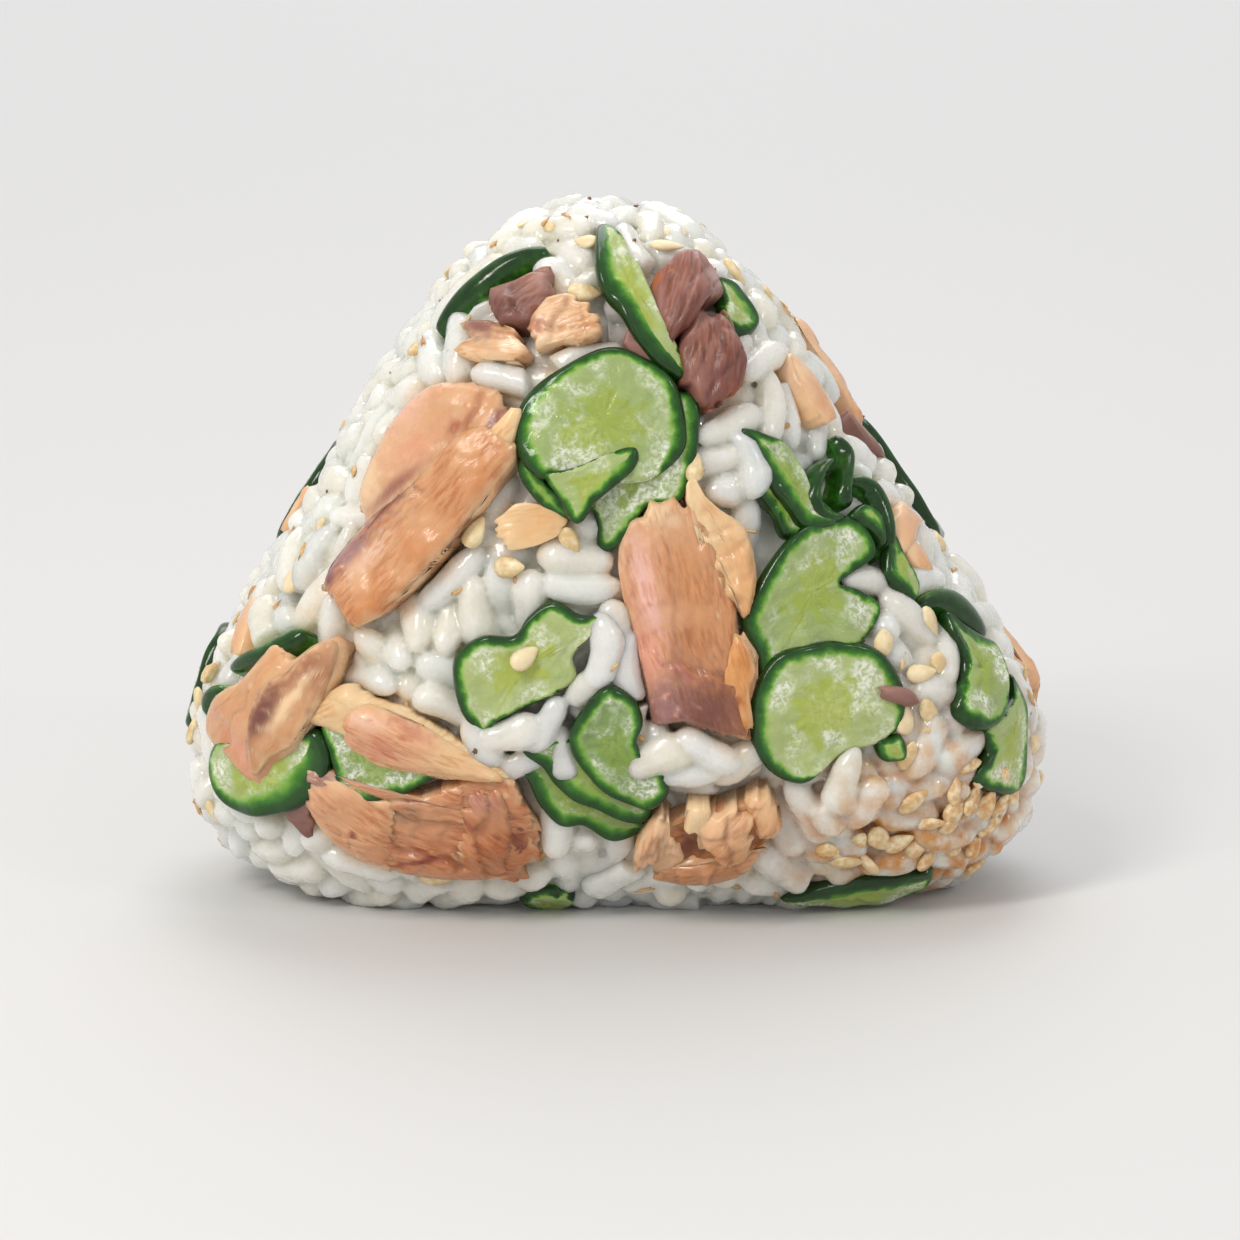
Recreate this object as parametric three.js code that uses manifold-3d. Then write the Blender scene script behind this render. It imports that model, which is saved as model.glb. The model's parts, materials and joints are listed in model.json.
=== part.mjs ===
// A hand-pressed triangular rice ball with flaked grilled fish, salted cucumber slices and white sesame.
// Millimetres, +Z up. It stands on its flat base, with one broad face to -Y and its point up.
// The origin is on the base, under the heart of the ball.

import * as THREE from 'three';
import { mergeVertices } from 'three/addons/utils/BufferGeometryUtils.js';
import Module from 'manifold-3d';

const wasm = await Module();
wasm.setup();

// ---- driving dimensions ----

const HEART_HEIGHT = 26.7; // the ball's centre above its base
const BASE_REACH = 28.6; // heart to each pressed side, measured square to the side
const LEFT_REACH = 31.5;
const RIGHT_REACH = 30.7;
const FACE_REACH = 24;
const LEFT_LEAN = THREE.MathUtils.degToRad(31.6); // of the two slopes from upright
const RIGHT_LEAN = THREE.MathUtils.degToRad(34.3);
const OUTLINE_ROUNDING = 2.3; // powers of the rounding: 2 is a ball, and more is squarer
const EDGE_ROUNDING = 2.6;

const GRAIN_LAYER = 2.3; // thickness of the outer grains, laid over a bare core
const GRAIN = { length: 7.6, width: 3.4, depth: 3.4, sink: 1.8 }; // sink: of its middle below the surface
const SEED = { length: 3.4, width: 2.1, depth: 3, sink: 1.6 };
const SLICE_THICKNESS = 1.7;
const KEEL = 3; // depth of a lump, band or crumb below the ball's surface
const FLAKE_STEP = 0.35; // height of the relief where the flakes of a lump part
const LONGEST_FALL = 14; // of the surface below the plane that a piece is laid from
const CLEARANCE = 0.3; // between neighbouring solids
const WELD = 0.03; // the grid that vertices are rounded to, so that near ones are one

const GRAIN_SPOTS = 224; // spread over the whole ball
const SEED_SPOTS = 30;
const GRAIN_TRIES = [1.1, 1, 0.9, 0.75, 0.6]; // shares of full length and width, tried in turn
const LOWEST_GRAIN = 1.2; // above the base
const CORE_DETAIL = 4;

// ---- the pressed form ----

const HEART = new THREE.Vector3(0, 0, HEART_HEIGHT);
const OUTLINE_SIDES = [
  { normal: new THREE.Vector3(0, 0, -1), reach: BASE_REACH },
  { normal: new THREE.Vector3(-Math.cos(LEFT_LEAN), 0, Math.sin(LEFT_LEAN)), reach: LEFT_REACH },
  { normal: new THREE.Vector3(Math.cos(RIGHT_LEAN), 0, Math.sin(RIGHT_LEAN)), reach: RIGHT_REACH },
];

// How far out a point lies, as a share of the way from the heart to the ball's surface.
function outwardness(point) {
  const from = point.clone().sub(HEART);
  let outline = 0;
  for (const side of OUTLINE_SIDES) {
    outline += (Math.max(0, from.dot(side.normal)) / side.reach) ** OUTLINE_ROUNDING;
  }
  const face = Math.abs(from.y) / FACE_REACH;
  return (outline ** (EDGE_ROUNDING / OUTLINE_ROUNDING) + face ** EDGE_ROUNDING) ** (1 / EDGE_ROUNDING);
}

function outwardNormal(point) {
  const step = 0.05;
  const slope = (axis) => {
    const move = new THREE.Vector3().setComponent(axis, step);
    return outwardness(point.clone().add(move)) - outwardness(point.clone().sub(move));
  };
  return new THREE.Vector3(slope(0), slope(1), slope(2)).normalize();
}

const FARTHEST = 60; // further out than the ball's surface, from anywhere inside it
const HALVINGS = 24; // of the search for the surface along a line

// How far along a line the ball's surface lies, between a distance that is inside it and one outside.
function surfaceAlong(start, direction, inside, outside) {
  let [near, far] = [inside, outside];
  for (let i = 0; i < HALVINGS; i += 1) {
    const middle = (near + far) / 2;
    if (outwardness(start.clone().addScaledVector(direction, middle)) < 1) near = middle;
    else far = middle;
  }
  return far;
}

// ---- solids and meshes ----

function solidOf(geometry) {
  const bare = geometry.index ? geometry.toNonIndexed() : geometry.clone();
  bare.deleteAttribute('normal');
  bare.deleteAttribute('uv');
  moveVertices(bare, (vertex) => vertex.divideScalar(WELD).round().multiplyScalar(WELD));
  const merged = mergeVertices(bare, WELD / 2);
  return new wasm.Manifold(
    new wasm.Mesh({
      numProp: 3,
      vertProperties: merged.attributes.position.array,
      triVerts: new Uint32Array(merged.index.array),
    }),
  );
}

function geometryOf(solid) {
  const mesh = solid.getMesh();
  const geometry = new THREE.BufferGeometry();
  geometry.setAttribute('position', new THREE.BufferAttribute(new Float32Array(mesh.vertProperties), 3));
  geometry.setIndex(new THREE.BufferAttribute(new Uint32Array(mesh.triVerts), 1));
  geometry.computeVertexNormals();
  return geometry;
}

// Welds what all but touches, and keeps the outer skin of the largest body, so that no hollow is sealed in.
// A weld can shut a hollow or part a scrap, so it is done again until one body is left.
function largestBody(solid) {
  const bodies = solidOf(geometryOf(solid)).decompose();
  const largest = bodies.reduce((best, body) => (body.volume() > best.volume() ? body : best));
  return bodies.length > 1 ? largestBody(largest) : largest;
}

function moveVertices(geometry, place) {
  const positions = geometry.attributes.position;
  const vertex = new THREE.Vector3();
  for (let i = 0; i < positions.count; i += 1) {
    place(vertex.fromBufferAttribute(positions, i));
    positions.setXYZ(i, vertex.x, vertex.y, vertex.z);
  }
  return geometry;
}

// A repeatable draw from 0 to 1.
function randomFrom(seed) {
  let state = seed;
  return () => {
    state = (state + 0x6d2b79f5) | 0;
    let t = Math.imul(state ^ (state >>> 15), 1 | state);
    t = (t + Math.imul(t ^ (t >>> 7), 61 | t)) ^ t;
    return ((t ^ (t >>> 14)) >>> 0) / 4294967296;
  };
}

function boxesMeet(a, b) {
  const [p, q] = [a.boundingBox(), b.boundingBox()];
  return [0, 1, 2].every((axis) => p.min[axis] < q.max[axis] && q.min[axis] < p.max[axis]);
}

// ---- laying a piece on the ball ----

const UP = new THREE.Vector3(0, 0, 1);
const OUTWARD = {
  front: new THREE.Vector3(0, -1, 0),
  back: new THREE.Vector3(0, 1, 0),
  left: new THREE.Vector3(-1, 0, 0),
  right: new THREE.Vector3(1, 0, 0),
};
const LEAST_FACING = 0.5; // a side seen more slantingly than this is stretched no further

// The spot on the ball seen at [x or y, z] from one of four sides, with the axes of its tangent plane.
function seatAt([side, across, height]) {
  const outward = OUTWARD[side];
  const from = new THREE.Vector3(outward.x ? 0 : across, outward.x ? across : 0, height);
  const spot = from.clone().addScaledVector(outward, surfaceAlong(from, outward, 0, FARTHEST));
  const normal = outwardNormal(spot);
  const right = new THREE.Vector3().crossVectors(UP, normal).normalize();
  const up = new THREE.Vector3().crossVectors(normal, right);
  return { spot, normal, right, up, level: new THREE.Vector3().crossVectors(UP, outward) };
}

// Places a piece's own point: right and up as seen squarely from its side, and height above the surface.
// lean: [how much it rises for each millimetre, toward which direction in degrees].
function layer(piece) {
  const { spot, normal, right, up, level } = seatAt(piece.at);
  const rightFacing = Math.max(right.dot(level), LEAST_FACING);
  const upFacing = Math.max(up.z, LEAST_FACING);
  const [rise, toward] = piece.lean ?? [0, 0];
  const riseRight = rise * Math.cos(THREE.MathUtils.degToRad(toward));
  const riseUp = rise * Math.sin(THREE.MathUtils.degToRad(toward));
  const down = normal.clone().negate();
  return (point) => {
    const height = point.z + (piece.lift ?? 0) + riseRight * point.x + riseUp * point.y;
    const b = point.y / upFacing;
    const a = (point.x - b * up.dot(level)) / rightFacing;
    point.copy(spot).addScaledVector(right, a).addScaledVector(up, b);
    point.addScaledVector(normal, height - surfaceAlong(point, down, LONGEST_FALL, 0));
  };
}

// ---- kinds of piece ----

const RIM_STEPS = 12;
const CRUMB_STEPS = 8;
const PATH_STEPS = 2; // of a band, from each point of its path to the next

// The point a share of the way round a closed smooth curve through the outline's points.
function rimPoint(outline, share) {
  const place = share * outline.length;
  const first = Math.floor(place);
  const t = place - first;
  const near = [-1, 0, 1, 2].map((k) => outline[(first + k + outline.length) % outline.length]);
  const blend = (k) => {
    const [p0, p1, p2, p3] = near.map((point) => point[k]);
    const bend = 2 * p0 - 5 * p1 + 4 * p2 - p3 + (3 * p1 - p0 - 3 * p2 + p3) * t;
    return p1 + 0.5 * t * (p2 - p0 + t * bend);
  };
  return [blend(0), blend(1)];
}

// A profile of [share of the way to the rim, height] turned round, with its rim stretched to the outline.
function turned(piece, profile, heightAt, grow) {
  const geometry = new THREE.LatheGeometry(
    profile.map(([share, height]) => new THREE.Vector2(share, height)),
    piece.isCrumb ? CRUMB_STEPS : RIM_STEPS,
  );
  const lay = layer(piece);
  moveVertices(geometry, (vertex) => {
    const share = Math.hypot(vertex.x, vertex.z);
    const turn = (Math.atan2(-vertex.z, vertex.x) / (2 * Math.PI) + 1) % 1;
    const [x, y] = rimPoint(piece.outline, turn);
    const height = vertex.y + heightAt(x * share, y * share, share, vertex.y > 0);
    const reach = share * (1 + grow / Math.hypot(x, y));
    vertex.set(x * reach, y * reach, height);
    lay(vertex);
  });
  return solidOf(geometry);
}

// A cucumber slice, thin and even, that waves a little round its rim. A crumb of one reaches the core.
function slice(piece, grow = 0) {
  const half = SLICE_THICKNESS / 2 + grow;
  const below = piece.isCrumb ? KEEL + grow : half;
  const profile = [
    [0, -below],
    [0.97, -below],
    [1, 0],
    [0.95, half],
    [0, half],
  ];
  const wave = piece.wave ?? 0.25;
  const ripple = (x, y, share) => wave * share * share * Math.sin(2 * Math.atan2(y, x) + x);
  return turned(piece, profile, ripple, grow);
}

// A lump of flaked fish, with steps where its flakes part.
function chunk(piece, grow = 0) {
  const crown = piece.crown + grow;
  const keel = KEEL + grow;
  const profile = [
    [0, -keel],
    [0.85, -keel * 0.75],
    [1, 0],
    [0.6, crown * 0.95],
    [0, crown],
  ];
  const grain = THREE.MathUtils.degToRad(piece.grain ?? 0);
  const flakes = (x, y, share, isTop) => {
    const across = y * Math.cos(grain) - x * Math.sin(grain);
    return isTop ? FLAKE_STEP * Math.sin(share * Math.PI) * Math.sin(across * 2 + x) : 0;
  };
  return turned(piece, profile, flakes, grow);
}

// A slice that stands on edge in the rice, so that its rind shows as a band along a path.
function band(piece, grow = 0) {
  const steps = PATH_STEPS * (piece.path.length - 1);
  const geometry = new THREE.BoxGeometry(1, 1, 1, steps, 1, 1);
  const curve = new THREE.CatmullRomCurve3(piece.path.map(([x, y]) => new THREE.Vector3(x, y, 0)));
  const lay = layer(piece);
  moveVertices(geometry, (vertex) => {
    const along = vertex.x + 0.5;
    const taper = 0.45 + 0.55 * Math.sqrt(Math.sin(Math.PI * along));
    const centre = curve.getPoint(along);
    const heading = curve.getTangent(along);
    const across = -2 * vertex.y * ((piece.width / 2) * taper + grow);
    const past = Math.abs(vertex.x) > 0.49 ? 2 * vertex.x * grow : 0;
    const height = vertex.z > 0 ? piece.crown * taper + grow : -KEEL * taper - grow;
    const x = centre.x + heading.y * across + heading.x * past;
    const y = centre.y - heading.x * across + heading.y * past;
    vertex.set(x, y, height);
    lay(vertex);
  });
  return solidOf(geometry);
}

// A ten-point outline of an oval that is a little uneven, for a piece turned by so many degrees.
function oval(halfLength, halfWidth, turn = 0) {
  const angles = Array.from({ length: 10 }, (_, i) => (i * Math.PI) / 5);
  const tilt = THREE.MathUtils.degToRad(turn);
  return angles.map((angle) => {
    const uneven = 1 + 0.06 * Math.sin(3 * angle + halfLength);
    const along = halfLength * uneven * Math.cos(angle);
    const across = halfWidth * uneven * Math.sin(angle);
    return [
      along * Math.cos(tilt) - across * Math.sin(tilt),
      along * Math.sin(tilt) + across * Math.cos(tilt),
    ];
  });
}

// ---- the toppings, those that lie over their neighbours first ----
// at: the side it is seen from, x (or y on a slope) and z. outline: anticlockwise from there, round it.
// lift: of a slice's middle above the surface. grain: which way fish fibres run, in degrees from level.
// isCrumb: small enough to be one with the rice under it.

const TOPPINGS = [
  // the front, from the point down
  {
    name: 'cucumber_flap', kind: slice, at: ['front', -1.8, 44.9], lift: 0.9, lean: [0.1, 250],
    outline: [
      [4.4, 3.3], [2, 2.9], [-1.5, 1.3], [-4.2, 0.7], [-3, -1.5], [-1.8, -3.6], [-0.7, -3.8], [0.6, -2],
      [2.6, -0.3], [4.5, 1.5],
    ],
  },
  {
    name: 'cucumber_round', kind: slice, at: ['front', -0.5, 50.2], lift: 0.2, lean: [0.06, 200],
    outline: [
      [7.9, 0], [6.8, 4], [3.8, 6.4], [0, 7.1], [-5.2, 4.5], [-7.6, 2.3], [-8.5, -0.5], [-8, -3], [-6, -5],
      [-1.5, -5.3], [4, -5.2], [7.4, -2.8],
    ],
  },
  {
    name: 'cucumber_under_flap', kind: slice, at: ['front', -6.1, 44.3], lift: -0.5, isCrumb: true,
    outline: [
      [1.7, -1.2], [0, 0.8], [-1.5, 2.9], [-2.6, 2.6], [-2.2, 0.4], [-0.2, -1.9], [1.7, -2.9], [2.9, -3.1],
    ],
  },
  {
    name: 'cucumber_under_round', kind: slice, at: ['front', 2.9, 46.2], lift: -1.1, lean: [0.08, 0],
    outline: [
      [5.8, 3], [5.6, 6.4], [2.5, 7], [-1, 5], [-4, 2], [-4.5, -2], [-4, -5.4], [-3.7, -7.6], [-2.2, -7.6],
      [-0.4, -5.2], [1.2, -3.7], [3.8, -3.4], [5.2, -1],
    ],
  },
  {
    name: 'cucumber_crest', kind: slice, at: ['front', 2.2, 62], lift: -0.1, lean: [0.3, 215],
    outline: [
      [1.9, 0], [0.6, 3.4], [-1.4, 6.6], [-3, 6.8], [-3.6, 2.7], [-3.1, 0.3], [-1.4, -1.8], [0.8, -4.5],
      [3, -6.2], [5.3, -6.7], [4.8, -5], [3.2, -2.8],
    ],
  },
  {
    name: 'dark_meat_lower', kind: chunk, at: ['front', 9.7, 56.3], crown: 1.8, grain: 90,
    outline: [
      [3.2, -1.4], [2.6, 0.8], [1.8, 2.8], [0.6, 4.4], [-1.4, 4.3], [-2.5, 2.4], [-3.1, 0], [-2.6, -2.6],
      [-1.3, -5], [1, -4.6], [2.8, -3.8],
    ],
  },
  {
    name: 'dark_meat_upper', kind: chunk, at: ['front', 7.4, 61.5], crown: 1.7, grain: 70,
    outline: [
      [3.7, -0.2], [2.8, 1.6], [1, 3.6], [-1.2, 3.6], [-2.7, 2.5], [-3.3, 0.6], [-2.9, -1.5], [-1.5, -3.6],
      [0, -3.2], [1.6, -1.5],
    ],
  },
  {
    name: 'dark_meat_crumb', kind: chunk, at: ['front', 3.1, 57.4], crown: 0.4, isCrumb: true,
    outline: [[1.3, -0.2], [-0.2, 1.6], [-1.6, 1.3], [-1.4, -0.4], [0.3, -1.6], [1.5, -1.8]],
  },
  {
    name: 'cucumber_behind_meat', kind: slice, at: ['front', 12.2, 60.2], lift: -0.5, isCrumb: true,
    outline: [[1, 0.6], [-0.2, 2], [-2.1, 2.4], [-1.3, 0.6], [-0.8, -1.4], [1.3, -2.6], [2.4, -1.8]],
  },
  {
    name: 'dark_meat_left', kind: chunk, at: ['front', -8.6, 61.1], crown: 1.3, grain: 40,
    outline: [
      [2.9, 0.6], [2.9, 2.6], [1.2, 2.4], [-0.8, 1.4], [-3, 0.9], [-2.9, -1.1], [-1.2, -2.7], [1, -2],
      [2.3, -0.8],
    ],
  },
  {
    name: 'fish_crest', kind: chunk, at: ['front', -4.1, 59.4], crown: 1.2, grain: 10,
    outline: [
      [3.6, 0.2], [2.5, 1.7], [0.4, 2.5], [-1.8, 2.1], [-3.3, 0.4], [-3.7, -1.3], [-2.6, -2.6],
      [-0.8, -1.9], [1.9, -1.8], [3.4, -1],
    ],
  },
  {
    name: 'fish_crest_strip', kind: chunk, at: ['front', -11, 57.3], crown: 0.7, grain: 5, isCrumb: true,
    outline: [
      [4.2, -0.2], [2.2, 1], [-0.5, 1.8], [-3, 1.7], [-2.6, 0.2], [-4.2, -1.2], [-1, -1.7], [2.8, -1.5],
    ],
  },
  {
    name: 'cucumber_left_crest', kind: band, at: ['front', -11.7, 62.3], crown: 0.5, width: 1.5,
    path: [[-5.6, -4], [-2.8, -1.8], [-0.3, 0], [2.2, 2], [5, 3.9]],
  },
  {
    name: 'fish_long', kind: chunk, at: ['front', -17.2, 42.4], crown: 1.9, grain: 56,
    outline: [
      [8.5, 6.2], [7.6, 9.7], [5, 11.2], [1.5, 11.2], [-1.8, 9.7], [-4.8, 6.4], [-7.2, 0.4], [-6.3, -2.6],
      [-8.2, -6.4], [-9.7, -8.8], [-6.4, -12.6], [-3, -10.2], [1.5, -5.5], [5.3, -0.3], [8, 4],
    ],
  },
  {
    name: 'fish_small_flake', kind: chunk, at: ['front', -7.1, 40.7], crown: 0.3, grain: 10, isCrumb: true,
    outline: [[3.7, 0.3], [1, 1.9], [-2, 1.9], [-3.5, 0], [-3, -2.4], [0.5, -1.8]],
  },
  {
    name: 'fish_middle', kind: chunk, at: ['front', 6.8, 32.3], crown: 2, grain: 105,
    outline: [
      [5.4, 0.5], [4.2, 4.5], [2.9, 8.5], [1.2, 10.9], [-2.5, 11.1], [-5.5, 9], [-6.4, 5.5], [-5.8, 1.5],
      [-4.3, -3], [-3.3, -7.5], [-2.6, -10.8], [0.5, -10.6], [4, -11.9], [6.9, -12.5], [6.1, -8.5],
      [5.8, -3.5],
    ],
  },
  {
    name: 'fish_middle_flake', kind: chunk, at: ['front', 11.1, 38.4], crown: 1.1, grain: 115,
    outline: [
      [2.5, 0], [1.2, 2.5], [-1.3, 4.2], [-2.7, 7], [-3.6, 6], [-2.5, 3], [-1, -0.5], [0.9, -5],
      [2.3, -6.2], [2.9, -3],
    ],
  },
  {
    name: 'cucumber_leaf', kind: slice, at: ['front', -8.4, 26.8], lift: -0.2, wave: 0.4,
    outline: [
      [6.8, 3.5], [8.3, 5.4], [5.8, 5.4], [3.1, 6.6], [0.8, 5.2], [-0.7, 3.3], [-3.7, 3.2], [-6.3, 1.2],
      [-6.4, -1.8], [-5.4, -4.8], [-3.6, -6.5], [-2, -4.9], [1.8, -3.1], [5.2, -1], [5, 1.3],
    ],
  },
  {
    name: 'cucumber_stack_top', kind: slice, at: ['front', 0.6, 19.5], lift: 0.5, lean: [0.12, 40],
    outline: [
      [2.1, 0.5], [2.7, 2.4], [1.9, 4.7], [-0.3, 6.1], [-1.9, 5.3], [-3.4, 3.3], [-4.4, 1], [-3.8, -1.6],
      [-1.7, -4.3], [1, -6.2], [3.4, -6.6], [5.1, -5], [4.9, -2.8], [3.1, -1.3],
    ],
  },
  {
    name: 'cucumber_stack_middle', kind: slice, at: ['front', -2.3, 15.9], lift: -0.5, lean: [0.14, 230],
    outline: [
      [3.5, -1], [1, 2.5], [-1.5, 4.2], [-4.4, 3.9], [-6.1, 3], [-4.2, 1.4], [-2.8, -0.8], [-0.5, -2.5],
      [2.7, -4.1], [5.5, -4.9], [6.5, -3.3],
    ],
  },
  {
    name: 'cucumber_stack_under', kind: slice, at: ['front', -3.1, 13.5], lift: -1.1, lean: [0.16, 230],
    outline: [
      [3.5, -0.9], [0.1, 1], [-2.4, 3.6], [-4.7, 5.3], [-6.6, 4.6], [-4.9, 2.4], [-3.6, -0.6], [-2, -2.6],
      [0.5, -3.1], [3.1, -4.5], [5.5, -4.4], [6.8, -3],
    ],
  },
  {
    name: 'fish_crumbly', kind: chunk, at: ['front', 9.6, 9.1], crown: 1.7, grain: 30,
    outline: [
      [6.8, 3], [5.7, 4.9], [2.7, 4.2], [-0.8, 3.9], [-2, 1.8], [-4.2, 2.8], [-6, 2], [-6.9, -1.3],
      [-5, -3.7], [-0.8, -4.5], [3.2, -3.1], [5.7, 0.2],
    ],
  },
  {
    name: 'fish_spear', kind: chunk, at: ['front', -20.1, 20], crown: 2.1, grain: 155,
    outline: [
      [10.5, -3.9], [7, -1.1], [3, 1.3], [-0.5, 3], [-3.6, 4.1], [-5.2, 4.8], [-7.5, 3.4], [-9.7, 1.1],
      [-7.4, 0.3], [-5.3, -0.4], [-3.5, -1.7], [-0.8, -3.2], [4, -3.2], [7.5, -4],
    ],
  },
  {
    name: 'fish_corner', kind: chunk, at: ['front', -33, 21.3], crown: 1.7, grain: 50,
    outline: [
      [5.5, 2], [6.8, 5.5], [7.2, 8.2], [4.5, 7], [2, 5.4], [0.2, 6.4], [-1.5, 5], [-3.2, 2.8], [-6.7, 0],
      [-8, -3.2], [-5.5, -4.6], [-3.2, -6.3], [-1, -8.6], [0.7, -5.2], [3.2, -2.5],
    ],
  },
  {
    name: 'cucumber_corner', kind: slice, at: ['front', -33.5, 15], lift: 0, lean: [0.1, 290],
    outline: [
      [6.3, 2.2], [5, 4.8], [2.5, 4.2], [-2.5, 2.8], [-5.7, 1.8], [-6.5, -0.3], [-5.4, -2.8], [-3.5, -4.4],
      [-0.5, -4.5], [3, -3.3], [5.4, -1],
    ],
  },
  {
    name: 'cucumber_under_spear', kind: slice, at: ['front', -22.1, 16.8], lift: -0.4, lean: [0.08, 270],
    outline: [
      [6, -0.4], [5.5, 2.4], [1.5, 3.2], [-3.2, 4.4], [-5.9, 3.8], [-5.1, 1.3], [-4.4, -1], [-4.5, -2.7],
      [-2, -3.6], [1.2, -3.3], [3.7, -2],
    ],
  },
  {
    name: 'dark_meat_foot', kind: chunk, at: ['front', -30.1, 10.9], crown: 0.4, isCrumb: true,
    outline: [[1.2, 2], [-1, 1.1], [-1.9, 0.2], [-0.4, -1.4], [1.2, -2.4]],
  },
  {
    name: 'fish_bottom', kind: chunk, at: ['front', -17.9, 10.4], crown: 1.9, grain: 170,
    outline: [
      [9.5, 4], [7.5, 5.7], [3, 5], [-0.5, 3.6], [-4.6, 3.2], [-8.2, 4.8], [-10.6, 5.6], [-11.9, 4.2],
      [-11.2, 1.2], [-8.5, -1.8], [-5, -4], [-0.5, -5.5], [6.5, -6], [10, -4.3], [10.7, 0],
    ],
  },
  {
    name: 'dark_meat_fleck', kind: chunk, at: ['front', 27.8, 23.5], crown: 1.4, isCrumb: true,
    outline: [[2, -1], [1.4, 0.1], [0, 0.8], [-1.9, 0.9], [-1.6, -0.2], [0.4, -1.2]],
  },
  {
    name: 'cucumber_side_round', kind: slice, at: ['front', 20.8, 22.5], lift: -0.1, lean: [0.08, 160],
    outline: [
      [8, 0.7], [7.3, 3], [5.5, 5.3], [2.5, 6.5], [-1.5, 6.5], [-4.8, 5.7], [-6.6, 3.3], [-7.4, 0],
      [-6.9, -3.3], [-5, -6], [-2.3, -7.2], [-0.2, -6], [2.2, -4.2], [5.5, -3.6], [7.5, -2],
    ],
  },
  {
    name: 'cucumber_notched', kind: slice, at: ['front', 19.5, 33.9],
    lift: -0.4, lean: [0.08, 170], wave: 0.4,
    outline: [
      [4.4, 1.4], [7, 3.2], [5.6, 6.2], [2.6, 6.8], [-1.2, 5.8], [-3.8, 3.5], [-6.1, -0.5], [-6.5, -3],
      [-5, -5.8], [-4.4, -8.1], [-2.6, -6.5], [1.3, -5.5], [5, -5.4], [7.2, -2.3], [5.2, -0.4], [2.8, 0.4],
    ],
  },
  {
    name: 'cucumber_curl', kind: band, at: ['front', 21.4, 42.6], crown: 1, width: 1.5,
    path: [[0.8, 3], [-1, 2], [-1.8, 0], [-0.8, -1.9], [1.6, -2.5]],
  },
  {
    name: 'cucumber_twist', kind: band, at: ['front', 25.6, 40.5], crown: 1.1, width: 1.5,
    path: [[-2.1, 2.9], [-0.3, 1.8], [0.7, 0], [1.4, -2], [1.9, -4.2]],
  },
  {
    name: 'cucumber_trail', kind: slice, at: ['front', 28.3, 34.8], lift: -0.5, wave: 0,
    outline: [
      [1.9, -1.9], [1.1, 0.2], [0, 1.9], [-0.8, 3.2], [-1.5, 1.8], [-1.3, -0.4], [0, -2], [1.3, -3.2],
    ],
  },
  {
    name: 'cucumber_shoulder', kind: slice, at: ['front', 17.2, 44.1], lift: -0.3, lean: [0.2, 215],
    outline: [
      [2.7, -1.8], [1.5, 1.2], [0, 3.5], [-2.3, 4.5], [-4.8, 5.2], [-3.3, 2.4], [-2, 0], [0, -2.8],
      [1.7, -4.6], [5, -4.2],
    ],
  },
  {
    name: 'cucumber_under_shoulder', kind: slice, at: ['front', 16.7, 41.9],
    lift: -1, lean: [0.1, 215], isCrumb: true,
    outline: [
      [1, 0.1], [-0.8, 2.4], [-2.6, 3.8], [-2.3, 1.4], [-0.8, -0.8], [0.3, -2.9], [1.7, -3], [2.9, -2.2],
    ],
  },
  {
    name: 'cucumber_right_band', kind: band, at: ['front', 34.3, 29.8], crown: 0.7, width: 1.9,
    path: [[-3.6, 2.1], [-1.2, 1.2], [1.1, -0.5], [3.6, -2.8]],
  },
  {
    name: 'cucumber_right_fold', kind: slice, at: ['front', 36.2, 24.3], lift: 0, lean: [0.1, 250],
    outline: [
      [2.6, -1.7], [2.4, 1.8], [0.7, 3], [-1.8, 4.6], [-3.3, 6], [-3, 3.8], [-1.8, 1.2], [-2.2, -2.4],
      [-1, -4.3], [0.7, -5.2], [2.2, -4.4],
    ],
  },
  {
    name: 'cucumber_right_edge', kind: slice, at: ['front', 39.2, 17], lift: -0.4, wave: 0,
    outline: [
      [2.2, -0.3], [2.6, 3.2], [1.6, 6.2], [0.8, 4.2], [-0.6, 3], [-2.4, 2], [-2, -0.3], [-2.8, -2.6],
      [-0.8, -4.6], [1.6, -5.1],
    ],
  },
  {
    name: 'cucumber_left_edge', kind: band, at: ['front', -34, 26.4], crown: 0.6, width: 1.8,
    path: [[-3.7, -2.2], [-1.4, -1], [0.4, -0.2], [2.2, 1.2], [3.9, 2.8]],
  },
  {
    name: 'cucumber_left_slope', kind: slice, at: ['left', 6.2, 38.6], lift: -0.3, wave: 0.1,
    outline: oval(5.2, 4.6, 100),
  },
  {
    name: 'fish_left_fleck', kind: chunk, at: ['front', -35.7, 28.5], crown: 0.4, grain: 68, isCrumb: true,
    outline: [[0.6, -0.8], [1.1, 2.2], [-0.2, 1.1], [-1.1, -1], [-1, -2.6], [0, -2.7]],
  },
  {
    name: 'fish_right_shred', kind: chunk, at: ['front', 29.3, 38.4], crown: 0.8, grain: 150,
    outline: [[2.8, -1.3], [0.7, 0.4], [-0.8, 1.6], [-2.4, 1], [-2, -0.8], [-0.9, -2.2], [0.9, -1.2]],
  },
  {
    name: 'fish_right_strip', kind: chunk, at: ['front', 29.7, 36], crown: 0.6, grain: 125, isCrumb: true,
    outline: [[1.9, -2.9], [0.9, -0.6], [-0.6, 1.2], [-2, 2.2], [-1.2, 0.4], [0.2, -1.6]],
  },
  {
    name: 'cucumber_base_right', kind: slice, at: ['front', 24.2, 2.6], lift: -0.3, wave: 0.1,
    outline: [
      [7.6, 1.6], [4.5, 1.4], [0, 1.2], [-3.5, 0.3], [-7.4, -1.2], [-3, -2.2], [3, -2.2], [7, -0.6],
    ],
  },
  {
    name: 'cucumber_base_middle', kind: slice, at: ['front', -6.1, 1.2], lift: -0.5, wave: 0, isCrumb: true,
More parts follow.
